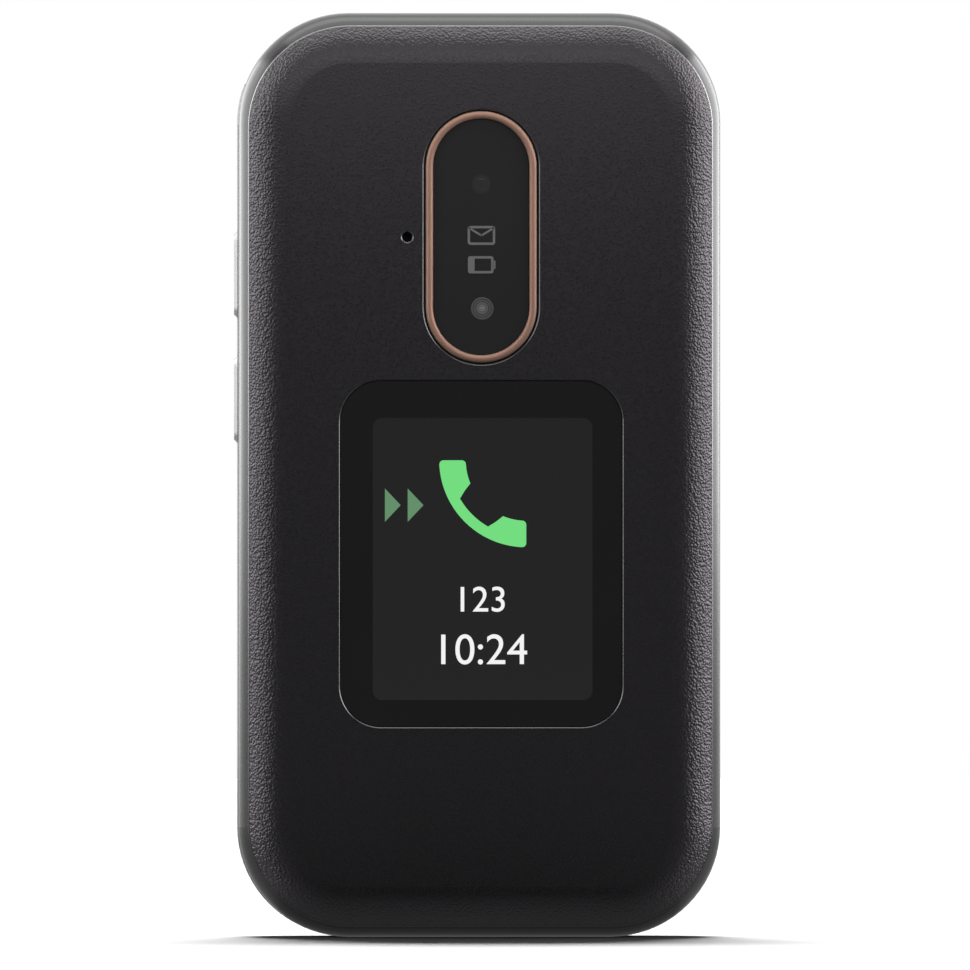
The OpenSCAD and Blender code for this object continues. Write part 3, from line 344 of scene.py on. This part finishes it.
# %% [markdown]
# ## Modelling helpers
# New pieces are modelled lying flat, with their face up, and then turned to face the way they are worn.
# `hold` selects one object, `edit` opens it in edit mode, and `pick` selects in it by place or direction.
# `settle` applies an object's place and turn to its mesh, and `merge` joins several pieces. `wear` turns
# a piece and moves it into place, and `dress` names it, finishes it and hangs it on the body that carries
# it. Most new pieces are worn on the lid's front, which is what `on_lid` is for.

# %% Modelling helpers
SELECT_MODES = {"verts": "VERT", "edges": "EDGE", "faces": "FACE"}
TURNS = {"front": (90, 0, 0), "inside": (-90, 0, 0), "back": (90, 0, 180), "left": (90, 0, -90)}

def begin():
    if bpy.context.mode != "OBJECT":
        bpy.ops.object.mode_set(mode="OBJECT")
    bpy.ops.object.select_all(action="DESELECT")

def hold(obj):
    begin()
    obj.select_set(True)
    bpy.context.view_layer.objects.active = obj

def edit(obj):
    hold(obj)
    bpy.ops.object.mode_set(mode="EDIT")

def pick(kind, test):
    bpy.ops.mesh.select_mode(type=SELECT_MODES[kind])
    bpy.ops.mesh.select_all(action="DESELECT")
    mesh = bpy.context.object.data
    shape = bmesh.from_edit_mesh(mesh)
    for part in getattr(shape, kind):
        if test(part):
            part.select_set(True)
    bmesh.update_edit_mesh(mesh)

def settle(obj):
    hold(obj)
    bpy.ops.object.transform_apply(location=True, rotation=True, scale=True)
    return obj

def merge(pieces):
    begin()
    for obj in pieces:
        obj.select_set(True)
    bpy.context.view_layer.objects.active = pieces[0]
    bpy.ops.object.join()
    return pieces[0]

def dress(obj, name, body, material):
    obj.name = obj.data.name = name
    obj.data.materials.clear()
    obj.data.materials.append(material)
    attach(obj, body)
    print(name, "on", body, len(obj.data.polygons), "faces")
    return obj

def wear(obj, name, body, material, facing, at):
    obj.rotation_euler = [math.radians(angle) for angle in TURNS[facing]]
    obj.location = at
    return dress(settle(obj), name, body, material)

def on_lid(obj, name, material, at):
    return wear(obj, name, "lid", material, "front", at)

print("modelling helpers ready")

# %% [markdown]
# ## Rounded plates
# Screens, cloths and many signs are thin rounded plates. A cube is added at its size, and its four upright
# edges are bevelled into corners. Where a chamfer is asked for, the rim of its face is bevelled as well.
# An inset of both faces and a bridge between the two cuts make a plate into a frame.

# %% Plates
def plate(width, height, radius, thick, steps=8, chamfer=0.0):
    begin()
    bpy.ops.mesh.primitive_cube_add(size=1, location=(0, 0, thick / 2), scale=(width, height, thick))
    obj = settle(bpy.context.object)
    edit(obj)
    pick("edges", lambda e: abs(e.verts[0].co.z - e.verts[1].co.z) > thick / 2)
    bpy.ops.mesh.bevel(offset=radius, segments=steps, affect="EDGES")
    if chamfer:
        pick("edges", lambda e: min(v.co.z for v in e.verts) > 0.99 * thick
             and min(abs(f.normal.z) for f in e.link_faces) < 0.5)
        bpy.ops.mesh.bevel(offset=chamfer, segments=1, affect="EDGES")
    begin()
    return obj

def hollow(obj, stroke):
    edit(obj)
    pick("faces", lambda f: abs(f.normal.z) > 0.9)
    bpy.ops.mesh.inset(thickness=stroke)
    bpy.ops.mesh.bridge_edge_loops()
    begin()
    return obj

print("plates ready")

# %% [markdown]
# ## Strokes, triangles and digits
# A stroke is a cube stretched between two points. A triangle is a cylinder with three sides, stretched
# from the 1.5 by root 3 that it measures in a circle of radius 1. Digits are a text object made a mesh;
# the capitals of Blender's own font are 0.73 of its size.

# %% Strokes, triangles and digits
def bar(start, end, width, thick):
    first, last = Vector((*start, 0)), Vector((*end, 0))
    begin()
    bpy.ops.mesh.primitive_cube_add(size=1, location=(first + last) / 2 + Vector((0, 0, thick / 2)),
                                    scale=((last - first).length, width, thick),
                                    rotation=(0, 0, math.atan2(last.y - first.y, last.x - first.x)))
    return settle(bpy.context.object)

def triangle(width, height, thick):
    begin()
    bpy.ops.mesh.primitive_cylinder_add(vertices=3, radius=1, depth=thick, location=(0, 0, thick / 2),
                                        rotation=(0, 0, -math.pi / 2))
    obj = settle(bpy.context.object)
    obj.scale = (width / 1.5, height / math.sqrt(3), 1)
    obj.location.x = -width / 6
    return settle(obj)

def digits(text, cap, thick):
    begin()
    bpy.ops.object.text_add()
    obj = bpy.context.object
    obj.data.body = text
    obj.data.align_x = "CENTER"
    obj.data.align_y = "CENTER"
    obj.data.size = cap / 0.73
    obj.data.extrude = thick / 2
    bpy.ops.object.convert(target="MESH")
    return bpy.context.object

print("strokes, triangles and digits ready")

# %% [markdown]
# ## Fine beads and lips
# The skin's cut edge shows as a line of light, and so do the edges of its openings. Both start as a flat
# rectangle whose corners are bevelled round. For the bead, every point of the outline is set at its own
# depth, and the outline becomes a thin round wire. A lip is a narrow sloping strip: an inset slopes it
# down towards the opening, so it lights up only where it faces a lamp.

# %% Beads and lips
def rounded_face(width, height, radius, level=0.0):
    begin()
    bpy.ops.mesh.primitive_plane_add(size=1, location=(0, 0, level))
    obj = bpy.context.object
    obj.scale = (width, height, 1)
    settle(obj)
    edit(obj)
    bpy.ops.mesh.select_all(action="SELECT")
    bpy.ops.mesh.bevel(offset=radius, segments=20, affect="VERTICES")
    bpy.ops.mesh.remove_doubles(threshold=0.01 * mm)
    bpy.ops.mesh.select_all(action="SELECT")
    return obj

def bead(width, height, radius, thick, middle_z, depth):
    obj = rounded_face(width, height, radius)
    bpy.ops.mesh.delete(type="ONLY_FACE")
    begin()
    for point in obj.data.vertices:
        x, z = point.co.x, point.co.y + middle_z
        point.co = (x, -depth(x, z), z)
    hold(obj)
    bpy.ops.object.convert(target="CURVE")
    obj = bpy.context.object
    obj.data.bevel_depth = thick / 2
    obj.data.bevel_resolution = 2
    bpy.ops.object.convert(target="MESH")
    return bpy.context.object

def lip(width, height, radius, wide, proud):
    obj = rounded_face(width + 2 * wide, height + 2 * wide, radius + wide, proud)
    bpy.ops.mesh.inset(thickness=wide, depth=-proud)
    bpy.ops.mesh.delete(type="ONLY_FACE")
    hold(obj)
    wall = obj.modifiers.new("wall", "SOLIDIFY")
    wall.thickness = 0.3 * proud
    bpy.ops.object.modifier_apply(modifier=wall.name)
    return obj

print("beads and lips ready")

# %% [markdown]
# ## The edge of the skin
# The lid's face is crowned: a 6 mm arc runs down from the flat towards the rim. The depth of the skin's
# edge therefore follows from how far a point lies outside the straight middle of the phone. The bead is
# sunk a little more than its radius below that arc, so only its outer side shows as a fine line.

# %% Bead round the skin
lid_low, lid_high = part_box("lid_frame")
face = -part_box("lid_cover")[0].y
half_width, height = lid_high.x, lid_high.z
corner, crown, crown_start = 12.5 * mm, 6 * mm, 6.75 * mm
bead_inset, bead_sunk = 0.04 * mm, 0.145 * mm

def crowned(x, z):
    past_side = max(abs(x) - half_width + corner, 0)
    past_end = max(z - height + corner, corner - z, 0)
    arc = max(math.hypot(past_side, past_end) - crown_start, 0)
    return face - crown + math.sqrt(crown ** 2 - arc ** 2)

skin_size = size("lid_cover")
skin_edge = bead(skin_size.x - bead_inset, skin_size.z - bead_inset, 11.5 * mm, 0.28 * mm,
                 middle("lid_cover").z, lambda x, z: crowned(x, z) - bead_sunk)
dress(skin_edge, "skin_edge", "lid", cut_edge)
print("face at", round(face / mm, 2), "mm, the frame behind it at", round(-lid_low.y / mm, 2), "mm")

# %% [markdown]
# ## The edges of the openings
# The skin has three openings: a small round one for the microphone, one round the camera's ring with a
# narrow gap, and one that the outer window fills. Each gets a lip that stands less than a tenth of a
# millimetre proud of the face.

# %% Lips of the openings
microphone_x, microphone_z = -8.45 * mm, ring_middle.z
on_lid(lip(1.2 * mm, 1.2 * mm, 0.6 * mm, 0.14 * mm, 0.08 * mm), "microphone_edge", lip_edge,
       (microphone_x, -face, microphone_z))
ring = size("camera_ring")
on_lid(lip(ring.x + 0.5 * mm, ring.z + 0.5 * mm, ring.x / 2 + 0.24 * mm, 0.1 * mm, 0.06 * mm),
       "ring_opening_edge", lip_edge, (0, -face, ring_middle.z))
on_lid(lip(window_size.x, window_size.z, 4.7 * mm, 0.09 * mm, 0.06 * mm), "outer_window_edge", lip_edge,
       (0, -face, middle("outer_window").z))

# %% [markdown]
# ## The handset sign
# The well-known call sign is a thin stroke along a quarter circle with a wider block at each end. A thin
# face is spun round the circle. The inner edges near both ends are extruded towards the centre, and the
# last points are let back to the stroke so that each block ends in a slope. Then the corners are rounded.

# %% Handset
def near_end(point, spread):
    turn = abs(math.degrees(math.atan2(-point.y, point.x)))
    return turn > 180 - spread or turn < 90 + spread

def handset(span, thick):
    radius = span * 0.95
    neck = radius * 0.12
    reach, block, slope = 0.79, 31, 4
    inner = (radius - neck) * reach
    full_back = 1 / reach
    half_back = 1 + (full_back - 1) * 0.5

    def on_inner_edge(e):
        first, last = e.verts[0].co, e.verts[1].co
        return (abs(first.length - last.length) < neck * 0.1
                and max(first.length, last.length) < radius - neck * 0.5
                and near_end((first + last) / 2, block))

    begin()
    bpy.ops.mesh.primitive_plane_add(size=1, location=(-radius + neck / 2, 0, 0))
    obj = bpy.context.object
    obj.scale = (neck, span * 0.001, 1)
    settle(obj)
    edit(obj)
    pick("edges", lambda e: max(v.co.y for v in e.verts) < 0)
    bpy.ops.mesh.spin(steps=24, angle=math.radians(-90), center=(0, 0, 0), axis=(0, 0, 1))
    pick("edges", on_inner_edge)
    bpy.ops.mesh.extrude_region_move()
    bpy.ops.transform.resize(value=(reach, reach, 1), center_override=(0, 0, 0))
    foot = block - 2
    for low, high, back in ((foot, 90, full_back), (foot - slope, foot, half_back)):
        pick("verts", lambda v: v.co.length < inner * 1.01 and near_end(v.co, high)
             and not near_end(v.co, low))
        bpy.ops.transform.resize(value=(back, back, 1), center_override=(0, 0, 0))
    bpy.ops.mesh.select_all(action="SELECT")
    bpy.ops.mesh.remove_doubles(threshold=span * 0.002)
    for level in (radius, inner):
        pick("verts", lambda v: abs(v.co.length - level) < neck * 0.1 and near_end(v.co, 1))
        bpy.ops.mesh.bevel(offset=span * 0.045, segments=4, affect="VERTICES")
    bpy.ops.mesh.select_all(action="SELECT")
    bpy.ops.mesh.extrude_region_move(TRANSFORM_OT_translate={"value": (0, 0, thick)})
    bpy.ops.mesh.select_all(action="SELECT")
    bpy.ops.mesh.normals_make_consistent(inside=False)
    begin()
    obj.location = (span / 2, span / 2, 0)
    return settle(obj)

print("handset ready")

# %% [markdown]
# ## Light for the outer display
# The window is black glass. Its lit ground is a rounded plate a hair above it, and the call sign, two
# arrows and two lines of plain digits lie on that ground. All of them ride on the lid.

# %% Outer display
layer = 0.03 * mm
sign_x, sign_y = -0.1 * mm, window_front - layer / 2
on_lid(plate(25.1 * mm, 32.2 * mm, 1.1 * mm, layer), "outer_screen_ground", lit_ground,
       (0.15 * mm, window_front + 0.01 * mm, 43.15 * mm))
on_lid(handset(10.45 * mm, layer), "outer_screen_handset", lit_green, (sign_x, sign_y, 49.2 * mm))
for n, x in enumerate((-10.1 * mm, -7.5 * mm), start=1):
    on_lid(triangle(1.8 * mm, 3.8 * mm, layer), f"outer_screen_arrow_{n}", lit_dull_green,
           (x, sign_y, 49.3 * mm))
display_lines = (("123", 3 * mm, 38.4 * mm), ("10:24", 3.6 * mm, 32.65 * mm))
for n, (text, cap, z) in enumerate(display_lines, start=1):
    on_lid(digits(text, cap, layer), f"outer_screen_line_{n}", lit_white, (sign_x, sign_y - layer / 2, z))

# %% [markdown]
# ## Signs on the camera window
# An envelope and a battery are printed in grey on the camera's glass. Each outline is a rounded plate made
# into a frame; bars make the envelope's flap, and small blocks the battery's charge and its contact.

# %% Envelope and battery
def envelope(width, height, stroke, thick):
    outline = hollow(plate(width, height, stroke * 1.2, thick, steps=4), stroke)
    flap_x, flap_y = width / 2 - stroke / 2, height / 2 - stroke * 0.8
    tip_x, tip_y = stroke * 0.2, -height * 0.02
    flap = [bar((side * flap_x, flap_y), (-side * tip_x, tip_y), stroke * 0.8, thick) for side in (-1, 1)]
    return merge([outline, *flap])

def battery_sign(width, height, stroke, thick):
    outline = hollow(plate(width, height, stroke, thick, steps=4), stroke)
    charge = plate(width * 0.22, height - stroke, stroke * 0.1, thick * 0.98, steps=1)
    charge.location.x = -width / 2 + width * 0.15
    contact = plate(stroke, height * 0.5, stroke * 0.4, thick, steps=3)
    contact.location.x = width / 2 + stroke * 0.3
    return merge([outline, settle(charge), settle(contact)])

sign_stroke = 0.28 * mm
on_lid(envelope(3.15 * mm, 2.17 * mm, sign_stroke, layer), "sign_envelope", grey_print,
       (0.02 * mm, island_front, 80.07 * mm))
on_lid(battery_sign(2.92 * mm, 1.97 * mm, sign_stroke, layer), "sign_battery", grey_print,
       (-0.06 * mm, island_front, 76.72 * mm))

# %% [markdown]
# ## Ringed lenses
# A lens is round, so it starts as a filled circle. Pairs of insets draw its rings: the first of a pair
# goes down and the second comes up again, which makes the flash's ridges and the camera's stepped barrel.

# %% Ringed disc
def ringed_disc(radius, rings, lift):
    begin()
    bpy.ops.mesh.primitive_circle_add(vertices=48, radius=radius, fill_type="NGON")
    obj = bpy.context.object
    edit(obj)
    bpy.ops.mesh.select_all(action="SELECT")
    bpy.ops.mesh.extrude_region_move(TRANSFORM_OT_translate={"value": (0, 0, lift)})
    for n in range(rings):
        bpy.ops.mesh.inset(thickness=radius / (rings + 1) * 0.75, depth=-lift * 0.7)
        bpy.ops.mesh.inset(thickness=radius / (rings + 1) * 0.25, depth=lift * 0.7)
    bpy.ops.mesh.select_all(action="SELECT")
    bpy.ops.mesh.normals_make_consistent(inside=False)
    begin()
    return obj

print("ringed disc ready")

# %% [markdown]
# ## The flash and the camera
# A flash lens spreads its light with ridges too fine to model. A sine wave over the distance from the
# lens's middle draws them, one in 0.27 mm, in the bump and as painted shade and highlight in the colour,
# darker and paler grey by turns. The middle is paler, because the small light shines through. The camera's
# lens is plain dark glass with a thin coat.

# %% Flash lens and camera lens
def ridged_lens_painted_shade(at):
    ridge_rate = 23000.0
    material, tree, bsdf, place = shader("Ridged flash lens with painted shade", Roughness=0.3)
    centred = vector_math(tree, "SUBTRACT", place, tuple(at))
    out = add(tree, "VectorMath", {0: centred}, operation="LENGTH").outputs["Value"]
    wave = number_math(tree, "SINE", number_math(tree, "MULTIPLY", out, ridge_rate))
    ridge_and_painted_shade = range_of(tree, wave, -1, 1, 0, 1)
    # Painted shade and highlight: the ridges are coloured darker and paler grey by turns.
    rings = add(tree, "MixRGB", {"Fac": ridge_and_painted_shade, "Color1": (0.05, 0.05, 0.052, 1),
                                 "Color2": (0.14, 0.14, 0.142, 1)})
    near_middle = range_of(tree, out, 0.1 * mm, 0.8 * mm, 1, 0)
    paler = add(tree, "MixRGB", {"Fac": near_middle, "Color1": rings.outputs["Color"],
                                 "Color2": (0.25, 0.25, 0.25, 1)})
    tree.links.new(paler.outputs["Color"], bsdf.inputs["Base Color"])
    bump(tree, bsdf, ridge_and_painted_shade, 0.00005)
    return material

flash_at = Vector((0.11 * mm, island_front, middle("flash_light").z - 0.16 * mm))
on_lid(ringed_disc(1.33 * mm, 4, 0.03 * mm), "flash_lens", ridged_lens_painted_shade(flash_at), flash_at)
camera_dark = plastic("Camera glass", (0.041, 0.041, 0.043), 0.14, grain=300.0, Coat_Weight=0.3)
on_lid(ringed_disc(1.1 * mm, 1, 0.015 * mm), "camera_lens", camera_dark,
       (0, island_front, middle("camera_module").z))

# %% [markdown]
# ## Key legends
# The keypad shows when the phone is opened. Plain digits are printed on the keys, a shade above each
# key's crowned top. The key's own box gives the place, and the key's body carries the print.

# %% Number keys
legends = {f"key_{digit}": digit for digit in "1234567890"}
legends["key_hash"] = "#"
for key, text in legends.items():
    spot = middle(key)
    wear(digits(text, 4.2 * mm, 0.06 * mm), key + "_legend", key, white_print, "front",
         (spot.x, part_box(key)[0].y, spot.z))

# %% [markdown]
# ## Signs on the other keys
# Green and red handsets mark the call keys, crossed bars the star key, short bars the two soft keys,
# triangles the steering key, and a small camera and an envelope the two wide keys. The ink is sunk a
# little into each key, and deeper at the sides of the steering key, which slopes away there.

# %% Function keys
ink = 0.05 * mm
sunk = 0.02 * mm

def on_key(key, obj, material, label="legend", dx=0.0, dz=0.0, sink=sunk, turn=0.0):
    spot = middle(key)
    obj.rotation_euler.z = math.radians(turn)
    settle(obj)
    return wear(obj, f"{key}_{label}", key, material, "front",
                (spot.x + dx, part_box(key)[0].y + sink, spot.z + dz))

def camera_sign(width, height, stroke, thick):
    outline = hollow(plate(width, height, stroke * 1.2, thick, steps=4), stroke)
    lens = hollow(plate(height * 0.5, height * 0.5, height * 0.249, thick, steps=6), stroke * 0.8)
    hump_x, hump_y = width * 0.16, height / 2 + stroke * 0.3
    hump = bar((-hump_x, hump_y), (hump_x, hump_y), stroke, thick)
    return merge([outline, lens, hump])

on_key("key_call", handset(4.6 * mm, ink), green_print)
on_key("key_end", handset(4.6 * mm, ink), red_print, turn=-135)
arms = []
for angle in (30, 90, 150):
    x, z = 1.7 * mm * math.cos(math.radians(angle)), 1.7 * mm * math.sin(math.radians(angle))
    arms.append(bar((-x, -z), (x, z), 0.5 * mm, ink))
on_key("key_star", merge(arms), white_print)
for key in ("key_soft_left", "key_soft_right"):
    on_key(key, plate(3.6 * mm, 0.7 * mm, 0.34 * mm, ink, steps=4), white_print)
steering = (("right", 5.6 * mm, 0, 0.22 * mm, 0), ("left", -5.6 * mm, 0, 0.22 * mm, 180),
            ("up", 0, 8 * mm, sunk, 90), ("down", 0, -8 * mm, sunk, -90))
for label, dx, dz, sink, turn in steering:
    on_key("key_nav", triangle(1.4 * mm, 2.2 * mm, ink), white_print, label, dx, dz, sink, turn)
on_key("key_camera", camera_sign(4.4 * mm, 3 * mm, 0.35 * mm, ink), white_print, sink=0.04 * mm)
on_key("key_message", envelope(4.4 * mm, 3 * mm, 0.35 * mm, ink), white_print, sink=0.04 * mm)

# %% [markdown]
# ## Volume keys
# The volume keys are silver, with a chamfered edge that catches the light. Each is a plate with full round
# ends on a wider flange, and stands for the plain solid of the same size. The plus and the minus lie a
# hair under the keys' faces, so that the keys keep their size, and don't show from outside.

# %% Volume keys
flange_thick, shoulder = 0.45 * mm, 0.8 * mm
for key, upright in (("volume_up_key", True), ("volume_down_key", False)):
    spot, full = middle(key), size(key)
    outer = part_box(key)[0].x
    head_width = full.y - shoulder
    head = plate(head_width, full.z - mm, head_width / 2 - 0.01 * mm, full.x, chamfer=0.36 * mm)
    flange = plate(full.y, full.z, full.y / 2 - 0.01 * mm, flange_thick)
    new_key = wear(merge([head, flange]), key + "_chamfered", key, silver_key, "left",
                   (outer + full.x, spot.y, spot.z))
    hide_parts(key)
    arms = [bar((-0.6 * mm, 0), (0.6 * mm, 0), 0.2 * mm, ink)]
    if upright:
        arms.append(bar((0, -0.6 * mm), (0, 0.6 * mm), 0.2 * mm, ink))
    wear(merge(arms), key + "_mark", key, grey_print, "left", (outer + ink + 0.002 * mm, spot.y, spot.z))

# %% [markdown]
# ## Dust cloths
# Behind the loudspeaker's holes and the two microphone holes a dark woven cloth keeps dust out. Its weave
# is a fine checker of threads.

# %% Dust cloths
def cloth():
    material, tree, bsdf, place = shader("Dust cloth", Roughness=0.8)
    weave = add(tree, "TexChecker", {"Vector": place, "Scale": 9000.0, "Color1": (0.02, 0.02, 0.02, 1),
                                     "Color2": (0.005, 0.005, 0.005, 1)})
    tree.links.new(weave.outputs["Color"], bsdf.inputs["Base Color"])
    bump(tree, bsdf, weave.outputs["Fac"], 0.00003)
    return material

dust_cloth = cloth()
cloth_thick = 0.1 * mm
speaker = middle("loudspeaker")
wear(plate(10.6 * mm, 8 * mm, 0.8 * mm, cloth_thick), "speaker_cloth", "base", dust_cloth, "back",
     (speaker.x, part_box("loudspeaker")[1].y - 0.3 * mm, speaker.z))
on_lid(plate(1.1 * mm, 1.1 * mm, 0.5 * mm, cloth_thick), "lid_microphone_cloth", dust_cloth,
       (microphone_x, lid_low.y + 0.5 * mm, microphone_z))
wear(plate(1.1 * mm, 1.1 * mm, 0.5 * mm, cloth_thick), "keypad_microphone_cloth", "base", dust_cloth,
     "front", (0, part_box("keypad_housing")[0].y + 0.8 * mm, 4.75 * mm))

# %% [markdown]
# ## The main screen
# Inside the lid is the large screen. Opened, the lid's free end is up, so the picture on it stands on its
# head while the phone is closed. It shows a plain ground that fades from dark to light blue, a clock in
# digits, a battery and the bars of the signal.

# %% Main screen
def dusk():
    material, tree, bsdf, place = shader("Lit dusk ground", Emission_Strength=0.6, Roughness=0.08,
                                         Base_Color=unlit)
    height = add(tree, "SeparateXYZ", {"Vector": place}).outputs["Z"]
    fade = range_of(tree, height, 12 * mm, 78 * mm, 0, 1)
    blend = add(tree, "MixRGB", {"Fac": fade, "Color1": (0.02, 0.06, 0.2, 1),
                                 "Color2": (0.06, 0.25, 0.42, 1)})
    tree.links.new(blend.outputs["Color"], bsdf.inputs["Emission Color"])
    return material

def on_screen(obj, name, material, x, y, z):
    return wear(obj, "main_screen_" + name, "lid", material, "inside", (x, y, z))

lit_dusk = dusk()
wide, tall = 43.2 * mm, 57.6 * mm
screen_z = middle("inner_window").z
upper_edge = screen_z - tall / 2
above = inner_face + layer / 2
on_screen(plate(wide, tall, 0.4 * mm, layer), "ground", lit_dusk, 0, inner_face - 0.01 * mm, screen_z)
on_screen(digits("10:24", 8 * mm, layer), "clock", lit_white, 0, above, screen_z - 14 * mm)
on_screen(battery_sign(4 * mm, 2 * mm, 0.3 * mm, layer), "battery", lit_white,
          wide / 2 - 4 * mm, above, upper_edge + 3 * mm)
bars = []
for n in range(4):
    signal = plate(0.6 * mm, (0.7 + 0.45 * n) * mm, 0.1 * mm, layer, steps=1)
    signal.location = (n * 0.95 * mm, (0.35 + 0.225 * n) * mm, 0)
    bars.append(settle(signal))
on_screen(merge(bars), "signal", lit_white, -wide / 2 + 2.4 * mm, above, upper_edge + 4 * mm)

# %% [markdown]
# ## Paper floor
# The phone stands on white paper. The camera sees the paper white. To the phone it is nearly black, so
# that its lower part stays dark, but a glossy rim still mirrors pale paper under and behind it.

# %% Floor
begin()
bpy.ops.mesh.primitive_plane_add(size=4, location=(0, 0, 0))
floor = bpy.context.object
floor.name = "floor"
paper = bpy.data.materials.new("White paper")
paper.use_nodes = True
tree = paper.node_tree
tree.nodes.clear()
rays = add(tree, "LightPath")
seen = add(tree, "MixRGB", {"Fac": rays.outputs["Is Camera Ray"], "Color1": (0.03, 0.03, 0.03, 1),
                            "Color2": (0.18, 0.18, 0.18, 1)})
matt = add(tree, "BsdfDiffuse", {"Color": seen.outputs["Color"]})
place = add(tree, "TexCoord").outputs["Object"]
behind = add(tree, "SeparateXYZ", {"Vector": place}).outputs["Y"]
mirrored = range_of(tree, behind, -30 * mm, -10 * mm, 0.0, 0.22)
mirrored_only = number_math(tree, "MULTIPLY", rays.outputs["Is Glossy Ray"], mirrored)
gloss = add(tree, "Emission", {"Strength": mirrored_only})
together = add(tree, "AddShader", {0: matt.outputs[0], 1: gloss.outputs[0]})
add(tree, "OutputMaterial", {"Surface": together.outputs[0]})
floor.data.materials.append(paper)
print("floor ready")

# %% [markdown]
# ## White room
# The camera sees a white room. Its light on the phone is white towards the back, a little dimmer straight
# to the sides, and almost dark towards the front, as in a studio where only the backdrop is lit.

# %% Room
room = bpy.data.worlds.new("White room")
bpy.context.scene.world = room
room.use_nodes = True
tree = room.node_tree
tree.nodes.clear()
rays = add(tree, "LightPath")
around = add(tree, "TexCoord").outputs["Generated"]
direction = add(tree, "SeparateXYZ", {"Vector": around})
sideways = number_math(tree, "ABSOLUTE", direction.outputs["X"])
side_level = range_of(tree, sideways, 0.5, 0.95, 1.0, 0.75)
back_level = range_of(tree, direction.outputs["Y"], -0.2, 0.5, 0.05, 1.0)
level = number_math(tree, "MULTIPLY", back_level, side_level)
straight = number_math(tree, "MAXIMUM", rays.outputs["Is Camera Ray"], rays.outputs["Is Transmission Ray"])
power = add(tree, "MixRGB", {"Fac": straight, "Color1": level, "Color2": (1, 1, 1, 1)})
sky = add(tree, "Background", {"Color": power.outputs["Color"], "Strength": 1.0})
add(tree, "OutputWorld", {"Surface": sky.outputs[0]})
print("room ready")

# %% [markdown]
# ## Light
# Two large soft boxes stand at the sides and reach far behind, so that the rounded rims catch them in long
# streaks. A third hangs above, and one with a grid in front of the top lights the face, which darkens
# downwards. The paper has a sun of its own from behind: light linking keeps each lamp to the phone or to
# the paper.

# %% Lamps
paper_only = bpy.data.collections.new("paper only")
paper_only.objects.link(floor)
all_but_paper = bpy.data.collections.new("all but paper")
all_but_paper.objects.link(floor)
all_but_paper.collection_objects[0].light_linking.link_state = "EXCLUDE"

def lamp(name, kind, at, turn, lights, **settings):
    data = bpy.data.lights.new(name, kind)
    for label, value in settings.items():
        setattr(data, label, value)
    obj = bpy.data.objects.new(name, data)
    bpy.context.scene.collection.objects.link(obj)
    obj.location = at
    obj.rotation_euler = [math.radians(angle) for angle in turn]
    obj.visible_camera = False
    obj.light_linking.receiver_collection = lights
    return obj

def soft_box(name, at, turn, width, height, radiance, fan=180):
    box = lamp(name, "AREA", at, turn, all_but_paper, shape="RECTANGLE", size=width, size_y=height,
               energy=radiance * math.pi * width * height, spread=math.radians(fan))
    print(name, round(box.data.energy, 2), "W")

soft_box("left box", (-0.5, 0.5, 0.255), (0, -90, 0), 0.42, 1.7, 2.4)
soft_box("right box", (0.5, 0.25, 0.255), (0, 90, 0), 0.42, 1.2, 3.4)
soft_box("top box", (0, 0.02, 0.6), (0, 0, 0), 0.8, 0.66, 1.7)
soft_box("front box", (-0.02, -0.15, 0.21), (90, 0, 0), 0.3, 0.2, 0.44, fan=120)
lamp("paper sun", "SUN", (0, 0.5, 0.6), (-34, 0, 0), paper_only, energy=25.0, angle=math.radians(24))
print("the paper has its own sun")

# %% [markdown]
# ## Camera
# A long lens looks straight at the phone from slightly to the left, two degrees off its middle line. Its
# distance follows from the width of the view.

# %% Camera
lens = bpy.data.cameras.new("camera")
lens.lens = 1200
lens.sensor_width = 36
lens.clip_end = 20
camera = bpy.data.objects.new("camera", lens)
bpy.context.scene.collection.objects.link(camera)
view_width = 110.93 * mm
yaw = math.radians(2.0)
distance = view_width / lens.sensor_width * lens.lens
target = Vector((0.755 * mm, 0, 51.6 * mm))
view = Vector((math.sin(yaw), math.cos(yaw), 0))
camera.location = target - view * distance
camera.rotation_euler = view.to_track_quat("-Z", "Y").to_euler()
bpy.context.scene.camera = camera
bpy.context.scene.view_settings.view_transform = "Standard"
print("camera at", [round(v, 3) for v in camera.location])
